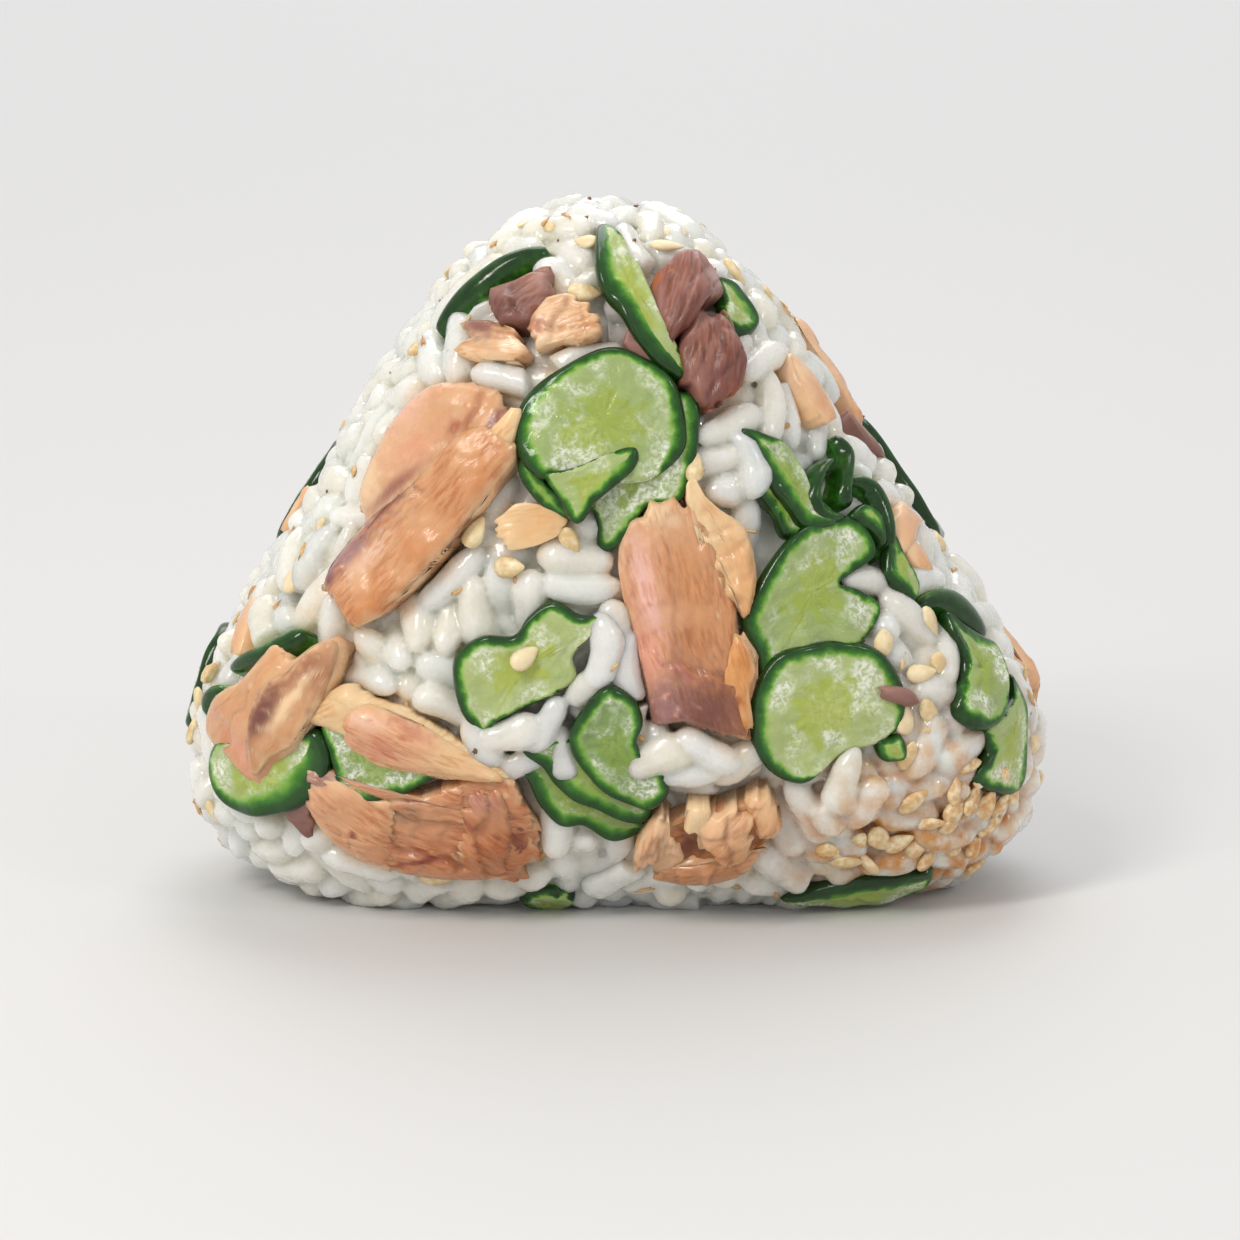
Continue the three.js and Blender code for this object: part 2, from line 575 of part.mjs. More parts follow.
    outline: [[2.8, 0.4], [1, 1.2], [-1.4, 1.1], [-2.8, 0], [-1.6, -1.3], [1.6, -1.2]],
  },
  // the back, and the two slopes
  {
    name: 'cucumber_back_round', kind: slice, at: ['back', 5, 46], lift: 0.1, lean: [0.06, 30],
    outline: oval(8, 7.6),
  },
  {
    name: 'fish_back_long', kind: chunk, at: ['back', 13.5, 32.5], crown: 1.9, grain: 128,
    outline: oval(10.8, 5, 128),
  },
  {
    name: 'cucumber_back_left', kind: slice, at: ['back', -16, 33], lift: -0.1, lean: [0.08, 200],
    outline: oval(7.6, 6.6, 40),
  },
  {
    name: 'cucumber_back_low', kind: slice, at: ['back', 22, 19.5], lift: 0, lean: [0.08, 120],
    outline: oval(7.2, 6, 20),
  },
  {
    name: 'fish_back_broad', kind: chunk, at: ['back', -15, 18], crown: 1.9, grain: 12,
    outline: oval(8.8, 5.2, 12),
  },
  {
    name: 'cucumber_back_foot', kind: slice, at: ['back', 0, 11], lift: -0.2, lean: [0.12, 90],
    outline: oval(7, 4.6, 165),
  },
  {
    name: 'cucumber_back_corner', kind: slice, at: ['back', -31.5, 13], lift: -0.2,
    outline: oval(6, 5, 60),
  },
  {
    name: 'fish_back_upper', kind: chunk, at: ['back', -8.5, 51], crown: 1.6, grain: 62,
    outline: oval(7.2, 3.8, 62),
  },
  {
    name: 'dark_meat_back', kind: chunk, at: ['back', 0.5, 28], crown: 1.6, grain: 40,
    outline: oval(4.4, 3.4, 40),
  },
  {
    name: 'fish_back_foot', kind: chunk, at: ['back', 15, 8], crown: 1.4, grain: 170,
    outline: oval(6.2, 3.2, 170),
  },
  {
    name: 'cucumber_back_crest', kind: band, at: ['back', 1.5, 60], crown: 0.6, width: 1.5,
    path: [[-5.6, 2.2], [-2, 0.4], [2.2, 0.2], [5.6, -2]],
  },
  {
    name: 'cucumber_right_slope', kind: slice, at: ['right', 9, 39], lift: -0.1,
    outline: oval(6.4, 5.6, 70),
  },
  {
    name: 'fish_right_slope', kind: chunk, at: ['right', 1.5, 51.5], crown: 1, grain: 60,
    outline: oval(5, 2.4, 60),
  },
  {
    name: 'fish_right_low', kind: chunk, at: ['right', 11, 20.5], crown: 1.5, grain: 30,
    outline: oval(7, 3.8, 30),
  },
  {
    name: 'fish_left_back', kind: chunk, at: ['left', 13, 31], crown: 1.3, grain: 110,
    outline: oval(6.4, 3.2, 110),
  },
  {
    name: 'cucumber_left_low', kind: slice, at: ['left', 6, 19.5], lift: -0.2,
    outline: oval(6, 5.6, 20),
  },
];

const LOOKS = {
  rice: { color: 0xe9e8df, roughness: 0.35, metalness: 0 },
  cucumber: { color: 0x6fa03c, roughness: 0.25, metalness: 0 },
  fish: { color: 0xd79a6a, roughness: 0.4, metalness: 0 },
  dark: { color: 0x8a5f55, roughness: 0.45, metalness: 0 },
};

function looksOf(name) {
  const kind = Object.keys(LOOKS).find((key) => name.startsWith(key));
  return new THREE.MeshStandardMaterial(LOOKS[kind]);
}

// ---- the ground that everything stands on ----

const GROUND_BLOCK = 200;

function aboveGround() {
  const block = new THREE.BoxGeometry(GROUND_BLOCK, GROUND_BLOCK, GROUND_BLOCK);
  return solidOf(block.translate(0, 0, GROUND_BLOCK / 2));
}

// ---- cutting each topping back from those that lie over it ----

function cutToppings(ground) {
  const laid = [];
  for (const piece of TOPPINGS) {
    let solid = piece.kind(piece).intersect(ground);
    const spread = piece.kind(piece, CLEARANCE);
    for (const other of laid) {
      const isApart = !(piece.isCrumb && other.isCrumb);
      if (isApart && boxesMeet(solid, other.spread)) solid = solid.subtract(other.spread);
    }
    laid.push({ name: piece.name, isCrumb: piece.isCrumb, solid: largestBody(solid), spread });
  }
  return laid;
}

// ---- rice ----

// The point where a line from the heart meets the ball's surface.
function surfacePoint(direction) {
  return HEART.clone().addScaledVector(direction, 1 / outwardness(HEART.clone().add(direction)));
}

// What is left of the ball under its outer grains, which thin out to nothing under the base.
function bareCore() {
  const geometry = new THREE.IcosahedronGeometry(1, CORE_DETAIL);
  moveVertices(geometry, (vertex) => {
    vertex.copy(surfacePoint(vertex.clone().normalize()));
    const normal = outwardNormal(vertex);
    vertex.addScaledVector(normal, -GRAIN_LAYER * Math.min(1, 1 + normal.z));
  });
  return solidOf(geometry);
}

// One grain, or one seed, lying in the ball's surface with its length along a heading.
function lyingGrain(spot, heading, size, { length, width, depth, sink }) {
  const normal = outwardNormal(spot);
  const across = new THREE.Vector3().crossVectors(normal, heading).normalize();
  const along = new THREE.Vector3().crossVectors(normal, across);
  const middle = spot.clone().addScaledVector(normal, -sink);
  const place = new THREE.Matrix4().makeBasis(
    across.multiplyScalar(width * size),
    along.multiplyScalar(length * size),
    normal.multiplyScalar(depth),
  );
  return solidOf(new THREE.SphereGeometry(0.5, 5, 3).applyMatrix4(place.setPosition(middle)));
}

// Spots spread evenly over the ball, each a golden turn on from the last.
function evenSpots(count, offset) {
  const golden = Math.PI * (3 - Math.sqrt(5));
  const spots = [];
  for (let i = 0; i < count; i += 1) {
    const height = 1 - (2 * (i + offset)) / count;
    const ring = Math.sqrt(1 - height * height);
    const direction = new THREE.Vector3(ring * Math.cos(golden * i), ring * Math.sin(golden * i), height);
    spots.push(surfacePoint(direction));
  }
  return spots.filter((spot) => spot.z > LOWEST_GRAIN);
}

// Lays a grain at each spot. One that would cross a topping is turned and shortened, then left out.
function looseGrains(spots, seed, shape, keepOut) {
  const draw = randomFrom(seed);
  const kept = [];
  for (const spot of spots) {
    for (const size of GRAIN_TRIES) {
      const heading = new THREE.Vector3(draw() - 0.5, draw() - 0.5, draw() - 0.5);
      const grain = lyingGrain(spot, heading, size, shape);
      if (grain.intersect(keepOut).isEmpty()) {
        kept.push(grain);
        break;
      }
    }
  }
  return kept;
}

function riceBall(toppings, ground) {
  const crumbs = toppings.filter((topping) => topping.isCrumb);
  const separate = toppings.filter((topping) => !topping.isCrumb);
  const keepOut = wasm.Manifold.union(toppings.map((topping) => topping.spread));
  const grains = looseGrains(evenSpots(GRAIN_SPOTS, 0.5), 7, GRAIN, keepOut);
  const seeds = looseGrains(evenSpots(SEED_SPOTS, 0.2), 11, SEED, keepOut);
  const heap = wasm.Manifold.union([bareCore(), ...grains, ...seeds, ...crumbs.map((crumb) => crumb.solid)]);
  const room = wasm.Manifold.union(separate.map((topping) => topping.spread));
  return largestBody(heap.intersect(ground).subtract(room));
}

// ---- the whole ball ----

const ground = aboveGround();
const toppings = cutToppings(ground);
const ball = new THREE.Group();

function addNode(name, solid) {
  const mesh = new THREE.Mesh(geometryOf(solid), looksOf(name));
  mesh.name = name;
  ball.add(mesh);
}

addNode('rice', riceBall(toppings, ground));
for (const { name, solid, isCrumb } of toppings) {
  if (!isCrumb) addNode(name, solid);
}

export default ball;
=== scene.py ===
"""A hand-pressed triangular rice ball: cooked rice, flaked grilled fish, salted cucumber and sesame.

Shapes are worked out in millimetres, in the frame of the CAD part, and meshes are made in metres.
"""
import json
import math

import bpy
import numpy as np
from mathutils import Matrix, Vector
from mathutils.kdtree import KDTree

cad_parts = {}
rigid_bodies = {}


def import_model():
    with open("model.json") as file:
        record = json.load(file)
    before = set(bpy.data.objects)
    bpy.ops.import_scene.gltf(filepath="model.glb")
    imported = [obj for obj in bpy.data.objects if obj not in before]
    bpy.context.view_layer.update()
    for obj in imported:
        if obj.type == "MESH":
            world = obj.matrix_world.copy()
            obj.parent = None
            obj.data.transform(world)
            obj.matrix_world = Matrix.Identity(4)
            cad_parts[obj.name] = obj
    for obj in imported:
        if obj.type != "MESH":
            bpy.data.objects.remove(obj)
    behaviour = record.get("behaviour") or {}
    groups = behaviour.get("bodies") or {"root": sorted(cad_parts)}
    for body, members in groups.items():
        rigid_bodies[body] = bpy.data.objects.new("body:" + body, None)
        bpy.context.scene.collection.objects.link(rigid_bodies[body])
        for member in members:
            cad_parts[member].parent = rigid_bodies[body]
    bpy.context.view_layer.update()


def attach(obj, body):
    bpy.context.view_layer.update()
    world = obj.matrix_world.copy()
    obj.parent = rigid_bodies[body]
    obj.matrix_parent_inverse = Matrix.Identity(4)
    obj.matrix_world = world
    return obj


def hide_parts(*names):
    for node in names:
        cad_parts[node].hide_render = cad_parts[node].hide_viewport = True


MM = 0.001

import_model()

# ---- the pressed form, in millimetres ----

HEART = np.array([0, 0, 26.7])  # the ball's centre
FACE_REACH = 24  # heart to each broad face
LEFT_LEAN, RIGHT_LEAN = math.radians(31.6), math.radians(34.3)  # of the two slopes from upright
SIDES = [  # outward direction of each pressed side, and how far it is from the heart
    (np.array([0, 0, -1]), 28.6),
    (np.array([-math.cos(LEFT_LEAN), 0, math.sin(LEFT_LEAN)]), 32.2),
    (np.array([math.cos(RIGHT_LEAN), 0, math.sin(RIGHT_LEAN)]), 31.6),
]
OUTLINE_ROUNDING, EDGE_ROUNDING = 2.05, 2.6  # powers: 2 is a ball, and more is squarer
FARTHEST = 60  # further out than the ball's surface, from anywhere inside it
LONGEST_FALL = 14  # of the surface below the plane that a piece is laid from
KEEL = 3  # depth of a lump below the ball's surface
SLICE_THICKNESS = 1.7  # of cucumber
HALVINGS = 24  # of a distance, to find where the surface lies in it
CURVE_SHARES = np.arange(240) / 240  # where a smooth outline is worked out, as shares of the way round


def outwardness(points):
    """How far out points lie, as a share of the way from the heart to the ball's surface."""
    away = points - HEART
    outline = sum(np.maximum(0, away @ normal / reach) ** OUTLINE_ROUNDING for normal, reach in SIDES)
    face = np.abs(away[:, 1]) / FACE_REACH
    return (outline ** (EDGE_ROUNDING / OUTLINE_ROUNDING) + face ** EDGE_ROUNDING) ** (1 / EDGE_ROUNDING)


def slopes(points):
    """Which way outwardness grows at points, and how fast for each millimetre."""
    step = 0.05
    grown = np.stack([
        (outwardness(points + move) - outwardness(points - move)) / (2 * step) for move in np.eye(3) * step
    ], axis=1)
    speed = np.linalg.norm(grown, axis=1, keepdims=True)
    return grown / speed, speed[:, 0]


def depth_below(points):
    """How far inside the ball's surface points lie, and the outward direction there."""
    normals, speed = slopes(points)
    return (1 - outwardness(points)) / speed, normals


def surface_along(starts, direction, inside, outside):
    """How far along lines the ball's surface lies, between a distance inside it and one outside."""
    near = np.full(len(starts), float(inside))
    far = np.full(len(starts), float(outside))
    for _ in range(HALVINGS):
        middle = (near + far) / 2
        is_inside = outwardness(starts + direction * middle[:, None]) < 1
        near = np.where(is_inside, middle, near)
        far = np.where(is_inside, far, middle)
    return far


def unit(vectors):
    """Vectors in the same directions, one long."""
    return vectors / np.maximum(1e-9, np.linalg.norm(vectors, axis=1, keepdims=True))


def waves(points, size, seed, count=14):
    """A smooth uneven field of about -1 to 1, whose swells are about size across."""
    draw = np.random.default_rng(seed)
    headings = unit(draw.normal(size=(count, points.shape[1])))
    lengths = size * draw.uniform(0.7, 1.5, count)
    phases = draw.uniform(0, 2 * math.pi, count)
    turns = points @ (headings * (2 * math.pi / lengths)[:, None]).T + phases
    return np.cos(turns).sum(axis=1) / math.sqrt(count)


# ---- laying a piece on the ball ----

OUTWARD = {"front": (0, -1, 0), "back": (0, 1, 0), "left": (-1, 0, 0), "right": (1, 0, 0)}
UP = np.array([0, 0, 1])
LEAST_FACING = 0.5  # a side seen more slantingly than this is stretched no further


def layer(piece):
    """Returns what places a piece's own points: right and up as seen squarely from its side, and height."""
    side, across, height = piece["at"]
    outward = np.array(OUTWARD[side], float)
    start = np.array([[0 if outward[0] else across, across if outward[0] else 0, height]], float)
    spot = start[0] + outward * surface_along(start, outward, 0, FARTHEST)[0]
    normal = slopes(spot[None])[0][0]
    right = np.cross(UP, normal)
    right /= np.linalg.norm(right)
    up = np.cross(normal, right)
    level = np.cross(UP, outward)
    rise, toward = piece.get("lean", (0, 0))
    rises = rise * math.cos(math.radians(toward)), rise * math.sin(math.radians(toward))

    def lay(x, y, z):
        heights = z + piece.get("lift", 0) + rises[0] * x + rises[1] * y
        b = y / max(up[2], LEAST_FACING)
        a = (x - b * (up @ level)) / max(right @ level, LEAST_FACING)
        flat = spot + a[:, None] * right + b[:, None] * up
        fall = surface_along(flat, -normal, LONGEST_FALL, 0)
        return flat + (heights - fall)[:, None] * normal

    return lay


def curve(p0, p1, p2, p3, t):
    """Values on a smooth curve through four in a row, at a share of the way from the second to the third."""
    bend = 2 * p0 - 5 * p1 + 4 * p2 - p3 + (3 * p1 - p0 - 3 * p2 + p3) * t
    return p1 + 0.5 * t * (p2 - p0 + t * bend)


def rim(values, shares):
    """Values on a closed smooth curve through the given ones, at shares of the way round it."""
    values = np.asarray(values, float)
    place = np.asarray(shares) % 1 * len(values)
    first = np.floor(place).astype(int)
    t = (place - first).reshape((-1,) + (1,) * (values.ndim - 1))
    return curve(*(values[(first + k) % len(values)] for k in (-1, 0, 1, 2)), t)


def straight(values, shares):
    """Values on straight lines between the given ones, at shares of the way round."""
    values = np.asarray(values, float)
    place = np.arange(len(values) + 1) / len(values)
    return np.stack([np.interp(shares, place, np.append(column, column[0])) for column in values.T], axis=1)


def turned(along, across, turn):
    """Points x and y of an outline that is given along and across a line turned by so many degrees."""
    tilt = math.radians(turn)
    x = along * math.cos(tilt) - across * math.sin(tilt)
    y = along * math.sin(tilt) + across * math.cos(tilt)
    return list(zip(x, y))


def oval(half_length, half_width, turn=0):
    """A ten-point outline of an oval that is a little uneven, for a piece turned by so many degrees."""
    angles = np.arange(10) * math.pi / 5
    uneven = 1 + 0.06 * np.sin(3 * angles + half_length)
    return turned(half_length * uneven * np.cos(angles), half_width * uneven * np.sin(angles), turn)


def torn(half_length, half_width, turn):
    """A fourteen-point outline of a blunt flake with torn ends, for a piece turned by so many degrees."""
    angles = np.arange(14) * math.pi / 7
    uneven = 1 + 0.09 * np.sin(3 * angles + half_length) + 0.09 * np.sin(5 * angles + 2 * half_width)
    along = half_length * uneven * np.sign(np.cos(angles)) * np.abs(np.cos(angles)) ** 0.6
    across = half_width * uneven * np.sign(np.sin(angles)) * np.abs(np.sin(angles)) ** 0.8
    return turned(along, across, turn)


def is_within(x, y, loop):
    """Whether points lie inside a closed loop of points."""
    inside = np.zeros(len(x), bool)
    for (x0, y0), (x1, y1) in zip(loop, np.roll(loop, -1, axis=0)):
        crosses = (y0 > y) != (y1 > y)
        with np.errstate(divide="ignore", invalid="ignore"):
            inside ^= crosses & (x < x0 + (y - y0) * (x1 - x0) / (y1 - y0))
    return inside


def nearest_on(loop, x, y):
    """How far points are from the nearest of a loop's points, and which one that is."""
    gaps = np.hypot(x[:, None] - loop[None, :, 0], y[:, None] - loop[None, :, 1])
    return gaps.min(axis=1), gaps.argmin(axis=1)


# ---- the toppings ----
# All lengths are in millimetres, and headings in degrees from level.
# at: the side it is seen from, x (or y on a slope) and z of its middle.
# outline: points round it, anticlockwise, from that middle. path and width: of a slice that stands on edge.
# lift: how far it lies above the surface. lean: how steeply it rises, and toward which heading.
# crumb: it is part of the rice node. part_of: the node of the larger piece that it is a layer of.
# Slices: rind is how wide the dark rind shows beside each point of the outline, frosty how much of the flesh
# is frosted, deep how dark the flesh is painted as shade that falls on the slice, and wave how far the slice
# is waved.
# Fish: crown is how thick it is, shoulder how far in its edge is rounded, and crisp how straight its outline.
# grain is the heading of its fibres. fibrous, flaky and fray: how deep its strands, layers and torn ends are.
# tones: pale tone, deep tone, colour of the grooves, which paints shade into splits and creases, and the
# heading from pale to deep.
# stains: x, y, reach along and across, heading and colour; a few pale ones are painted highlights. steps: x,
# y, heading, rise and softness.
# facets: x, y, heading, and how fast the surface falls to its left. pits: x, y, reach and depth.

TOPPINGS = [
    dict(name="cucumber_flap", at=("front", -1.8, 44.9), lift=0.9, lean=(0.1, 250), frosty=0.3, deep=0.15,
         outline=[(4.4, 3.3), (2, 2.9), (-1.5, 1.3), (-4.2, 0.7), (-3, -1.5), (-1.8, -3.6), (-0.7, -3.8),
             (0.6, -2), (2.6, -0.3), (4.5, 1.5)],
         rind=[1.2, 0.3, 0, 0.3, 0.7, 0.8, 0.8, 0.9, 1.1, 1.5]),
    dict(name="cucumber_round", at=("front", -0.5, 50.2), lift=0.2, lean=(0.06, 200), frosty=0.55,
         deep=0.35,
         outline=[(7.9, 0), (6.8, 4), (3.8, 6.4), (0, 7.1), (-5.2, 4.5), (-7.6, 2.3), (-8.5, -0.5),
             (-8, -3), (-6, -5), (-1.5, -5.3), (4, -5.2), (7.4, -2.8)],
         rind=[1.4, 1.1, 0.9, 0.9, 1.1, 1.4, 1.6, 1.6, 1.3, 0.3, 0, 1.2]),
    dict(name="cucumber_under_flap", at=("front", -6.1, 44.3), lift=-0.5, crumb=True, frosty=0.2,
         deep=0.4,
         outline=[(1.7, -1.2), (0, 0.8), (-1.5, 2.9), (-2.6, 2.6), (-2.2, 0.4), (-0.2, -1.9),
             (1.7, -2.9), (2.9, -3.1)],
         rind=[0.9]),
    dict(name="cucumber_under_round", at=("front", 2.9, 46.2), lift=-1.1, lean=(0.08, 0), frosty=0.45,
         deep=0.5,
         outline=[(5.8, 3), (5.6, 6.4), (2.5, 7), (-1, 5), (-4, 2), (-4.5, -2), (-4, -5.4), (-3.7, -7.6),
             (-2.2, -7.6), (-0.4, -5.2), (1.2, -3.7), (3.8, -3.4), (5.2, -1)],
         rind=[1.3, 1.2, 0.3, 0, 0, 0, 0.5, 0.9, 0.9, 0.8, 0.6, 0.7, 1.1]),
    dict(name="cucumber_crest", at=("front", 2.2, 62), lift=-0.1, lean=(0.3, 215), frosty=0.3, deep=0.0,
         outline=[(1.9, 0), (0.6, 3.4), (-1.4, 6.6), (-3, 6.8), (-3.6, 2.7), (-3.1, 0.3), (-1.4, -1.8),
             (0.8, -4.5), (3, -6.2), (5.3, -6.7), (4.8, -5), (3.2, -2.8)],
         rind=[0, 0, 0.5, 1.2, 1.6, 1.7, 1.8, 1.8, 1.6, 1, 0.2, 0]),
    dict(name="dark_meat_lower", at=("front", 9.7, 56.3), crown=1.9, grain=90, fibrous=1.0, flaky=0.3,
         shoulder=0.6, crisp=0.8, fray=1.2,
         outline=[(3.2, -1.4), (2.6, 0.8), (1.8, 2.8), (0.6, 4.4), (-1.4, 4.3), (-2.5, 2.4), (-3.1, 0),
             (-2.6, -2.6), (-1.3, -5), (1, -4.6), (2.8, -3.8)],
         tones=("#a57668", "#84554a", "#4d2c27", 270),
         facets=[(0.4, -0.3, 345, 0.34), (0.4, -0.3, 165, 0.16), (-1.6, 0, 95, 0.6)],
         steps=[(-0.1, -2.6, 84, -0.6, 0.3), (-1.7, 2.0, 80, -0.5, 0.3)],
         stains_and_glints=[(0.9, -2.6, 1.0, 1.6, 80, "#7b4a42"), (2.2, -4.0, 1.0, 0.5, 30, "#b06a4a")]),
    dict(name="dark_meat_upper", at=("front", 7.4, 61.5), crown=1.8, grain=75, fibrous=1.0, flaky=0.3,
         shoulder=0.6, crisp=0.8, fray=1.2,
         outline=[(3.7, -0.2), (2.8, 1.6), (1, 3.6), (-1.2, 3.6), (-2.7, 2.5), (-3.3, 0.6), (-2.9, -1.5),
             (-1.5, -3.6), (0, -3.2), (1.6, -1.5)],
         tones=("#a5756a", "#84554a", "#4d2c27", 290), facets=[(-0.6, 0.6, 95, 0.5), (0.6, 0, 240, 0.22)],
         steps=[(-0.7, -1.2, 70, -0.6, 0.3), (1.6, 0.4, 110, 0.4, 0.3)],
         stains_and_glints=[(2.4, 0.8, 1.2, 0.8, 300, "#b89a96"), (-2.9, 1.6, 0.5, 0.4, 0, "#b5662e")]),
    dict(name="dark_meat_crumb", at=("front", 3.1, 57.4), crown=0.4, crumb=True,
         outline=[(1.3, -0.2), (-0.2, 1.6), (-1.6, 1.3), (-1.4, -0.4), (0.3, -1.6), (1.5, -1.8)]),
    dict(name="cucumber_behind_meat", at=("front", 12.2, 60.2), lift=-0.5, crumb=True, frosty=0.5,
         deep=0.3,
         outline=[(1, 0.6), (-0.2, 2), (-2.1, 2.4), (-1.3, 0.6), (-0.8, -1.4), (1.3, -2.6), (2.4, -1.8)],
         rind=[1, 1, 1, 0.4, 0.3, 0.8, 1]),
    dict(name="dark_meat_left", at=("front", -8.6, 61.1), crown=1.3, grain=40, fibrous=1.0, flaky=0.4,
         fray=1.4, shoulder=0.6, crisp=0.8,
         outline=[(2.9, 0.6), (2.9, 2.6), (1.2, 2.4), (-0.8, 1.4), (-3, 0.9), (-2.9, -1.1), (-1.2, -2.7),
             (1, -2), (2.3, -0.8)],
         facets=[(0, 0, 40, 0.3), (0.8, 0.4, 255, 0.3)], steps=[(-0.4, 0, 100, 0.5, 0.3)],
         stains_and_glints=[(1.8, 1.6, 0.9, 0.6, 30, "#b48a80")]),
    dict(name="fish_crest", at=("front", -4.1, 59.4), crown=1.0, grain=20, fibrous=0.8, flaky=0.4,
         fray=1.8, crisp=0.7, shoulder=0.7,
         outline=[(3.6, 0.2), (2.5, 1.7), (0.4, 2.5), (-1.8, 2.1), (-3.3, 0.4), (-3.7, -1.3),
             (-2.6, -2.6), (-0.8, -1.9), (1.9, -1.8), (3.4, -1)],
         tones=("#f2d4b0", "#e0b286", "#b0744a", 20),
         steps=[(-0.8, 0, 62, 0.5, 0.3), (1.6, 0.2, 100, -0.4, 0.3)],
         stains_and_glints=[(-3, -0.5, 1.2, 0.9, 0, "#c08468")]),
    dict(name="fish_crest_strip", at=("front", -11, 57.3), crown=0.7, grain=5, fibrous=0.8, fray=1.8,
         crisp=0.7, shoulder=0.6, crumb=True,
         outline=[(4.2, -0.2), (2.2, 1), (-0.5, 1.8), (-3, 1.7), (-2.6, 0.2), (-4.2, -1.2), (-1, -1.7),
             (2.8, -1.5)],
         tones=("#ecc8a0", "#dba878", "#a96c48", 30),
         stains_and_glints=[(-1.4, 1.2, 1.9, 0.9, 350, "#8a5a50"), (2.4, 0, 1.2, 0.5, 10, "#f2d8b6")]),
    dict(name="cucumber_left_crest", at=("front", -11.7, 62.3), crown=1.0, width=1.5,
         path=[(-5.6, -4), (-2.8, -1.8), (-0.3, 0), (2.2, 2), (5, 3.9)]),
    dict(name="fish_long", at=("front", -17.2, 42.4), crown=1.5, grain=56, fibrous=0.12, fray=0.6,
         outline=[(8.5, 6.2), (7.6, 9.7), (5, 11.2), (1.5, 11.2), (-1.8, 9.7), (-4.8, 6.4), (-7.2, 0.4),
             (-6.3, -2.6), (-7.6, -6.2), (-8.4, -8.2), (-6.6, -10.8), (-3.8, -8.6), (0.4, -4.2),
             (3.8, 0.8), (7, 4.6)],
         tones=("#e6c3a1", "#d6a275", "#a05c40", 60), facets=[(-3.6, 6, 60, 0.18), (3.5, 8.6, 330, 0.2)],
         steps=[(4.6, 8.4, 75, 0.5, 0.4)],
         stains_and_glints=[(-2.2, 8.3, 2.6, 1.1, 40, "#eab9a0"), (3.3, 6.9, 1.0, 0.45, 40, "#a5583a"),
             (6.8, 8.0, 1.5, 0.4, 65, "#8c5a50"), (-2.6, 0.9, 3.4, 0.55, 42, "#96584a"),
             (-1, 4.4, 2.6, 1.2, 30, "#dda07c"), (-6, 1.5, 1.8, 1.4, 60, "#eccba4")]),
    dict(name="fish_long_body", at=("front", -17.2, 42.4), crown=1.5, lift=0.7, grain=50,
         part_of="fish_long", fibrous=0.75, fray=0.7, shoulder=1.1,
         outline=[(8.6, 5.0), (7.9, 7.0), (5.6, 7.3), (3.3, 6.2), (0.1, 2.8), (-1.8, 0.7), (-4.9, -1.8),
             (-7.6, -4.8), (-9.8, -8.4), (-8.4, -10.7), (-6.4, -12.4), (-2.8, -9.7), (1.4, -5.2),
             (4.9, -0.6), (7.4, 3.0)],
         tones=("#e4ba8e", "#cd844c", "#a45a30", 318),
         # the last stain, a pale streak beside the lilac one, is a painted glint
         stains_and_glints=[(-3.0, -0.6, 2.4, 0.7, 42, "#7c4238"), (-7.0, -5.6, 3.2, 0.9, 47, "#a0787a"),
             (-9.0, -8.2, 0.9, 0.6, 80, "#7d4650"), (-4.6, -5.4, 2.2, 0.6, 47, "#eac4a8")]),
    dict(name="fish_long_shred", at=("front", -17.2, 42.4), crown=0.5, lift=1.4, grain=55, crisp=0.6,
         part_of="fish_long", fibrous=0.8,
         outline=[(8.2, 5.6), (9.3, 8.8), (8.6, 9.6), (7.4, 8.0), (6.0, 6.4), (6.6, 5.2)],
         tones=("#f2d3a4", "#e6b57c", "#b9793f", 300)),
    dict(name="fish_small_flake", at=("front", -7.1, 40.7), crown=0.3, grain=10, crumb=True,
         outline=[(3.7, 0.3), (1, 1.9), (-2, 1.9), (-3.5, 0), (-3, -2.4), (0.5, -1.8)],
         tones=("#eecfa0", "#e2b27a", "#c99a62", 20)),
    dict(name="fish_middle", at=("front", 6.8, 32.3), crown=1.6, grain=105, fibrous=0.6, shoulder=0.9,
         fray=0.3, crisp=0.8,
         outline=[(5.4, 0.5), (4.2, 4.5), (3.1, 7.8), (1.8, 9.4), (1.4, 10.6), (0.2, 10.2), (-0.6, 11.3),
             (-1.7, 10.5), (-2.9, 10.9), (-3.6, 9.4), (-4.9, 9.0), (-5.7, 7.3), (-5.9, 4.5), (-5.4, 1.5),
             (-4.3, -3), (-3.3, -7.5), (-2.6, -10.8), (0.5, -10.6), (4, -11.9), (6.9, -12.5),
             (6.1, -8.5), (5.8, -3.5)],
         tones=("#e2ae86", "#c58550", "#8f4c2c", 335),
         facets=[(-2.4, 2, 97, 0.5), (2.6, 2, 283, 0.22), (-1, 7.6, 20, 0.16)],
         steps=[(1, -5.4, 160, 0.7, 0.4), (1.6, 3, 262, 0.4, 0.5), (-1.4, 6, 275, -0.18, 0.4),
             (3.8, -4, 278, 0.25, 0.4)],
         # the fourth stain, a pale pink band down the left edge, is a painted highlight
         stains_and_glints=[(2.4, -9.4, 4.4, 3.0, 165, "#754236"), (-1.6, -9.0, 1.7, 2.8, 0, "#94696a"),
             (0.4, -5.6, 1.6, 0.5, 150, "#a35f4c"), (-3.3, 2.4, 4.6, 0.9, 101, "#eec0b4"),
             (-3.4, -4.0, 3.0, 1.2, 101, "#dfa088"), (-2.0, 9.4, 2.4, 1.0, 170, "#eccba4"),
             (1.2, 3.0, 3.0, 1.6, 100, "#cf9464")]),
    dict(name="fish_middle_edge", at=("front", 6.8, 32.3), crown=0.8, lift=1.3, grain=110, crisp=0.6,
         part_of="fish_middle", fibrous=0.6, fray=1.4,
         outline=[(6.6, -3.4), (5.2, -2.0), (4.2, -4.2), (3.6, -6.2), (4.6, -8.2), (5.6, -11.2),
             (6.9, -11.0), (6.7, -8.2), (7.2, -6.0)],
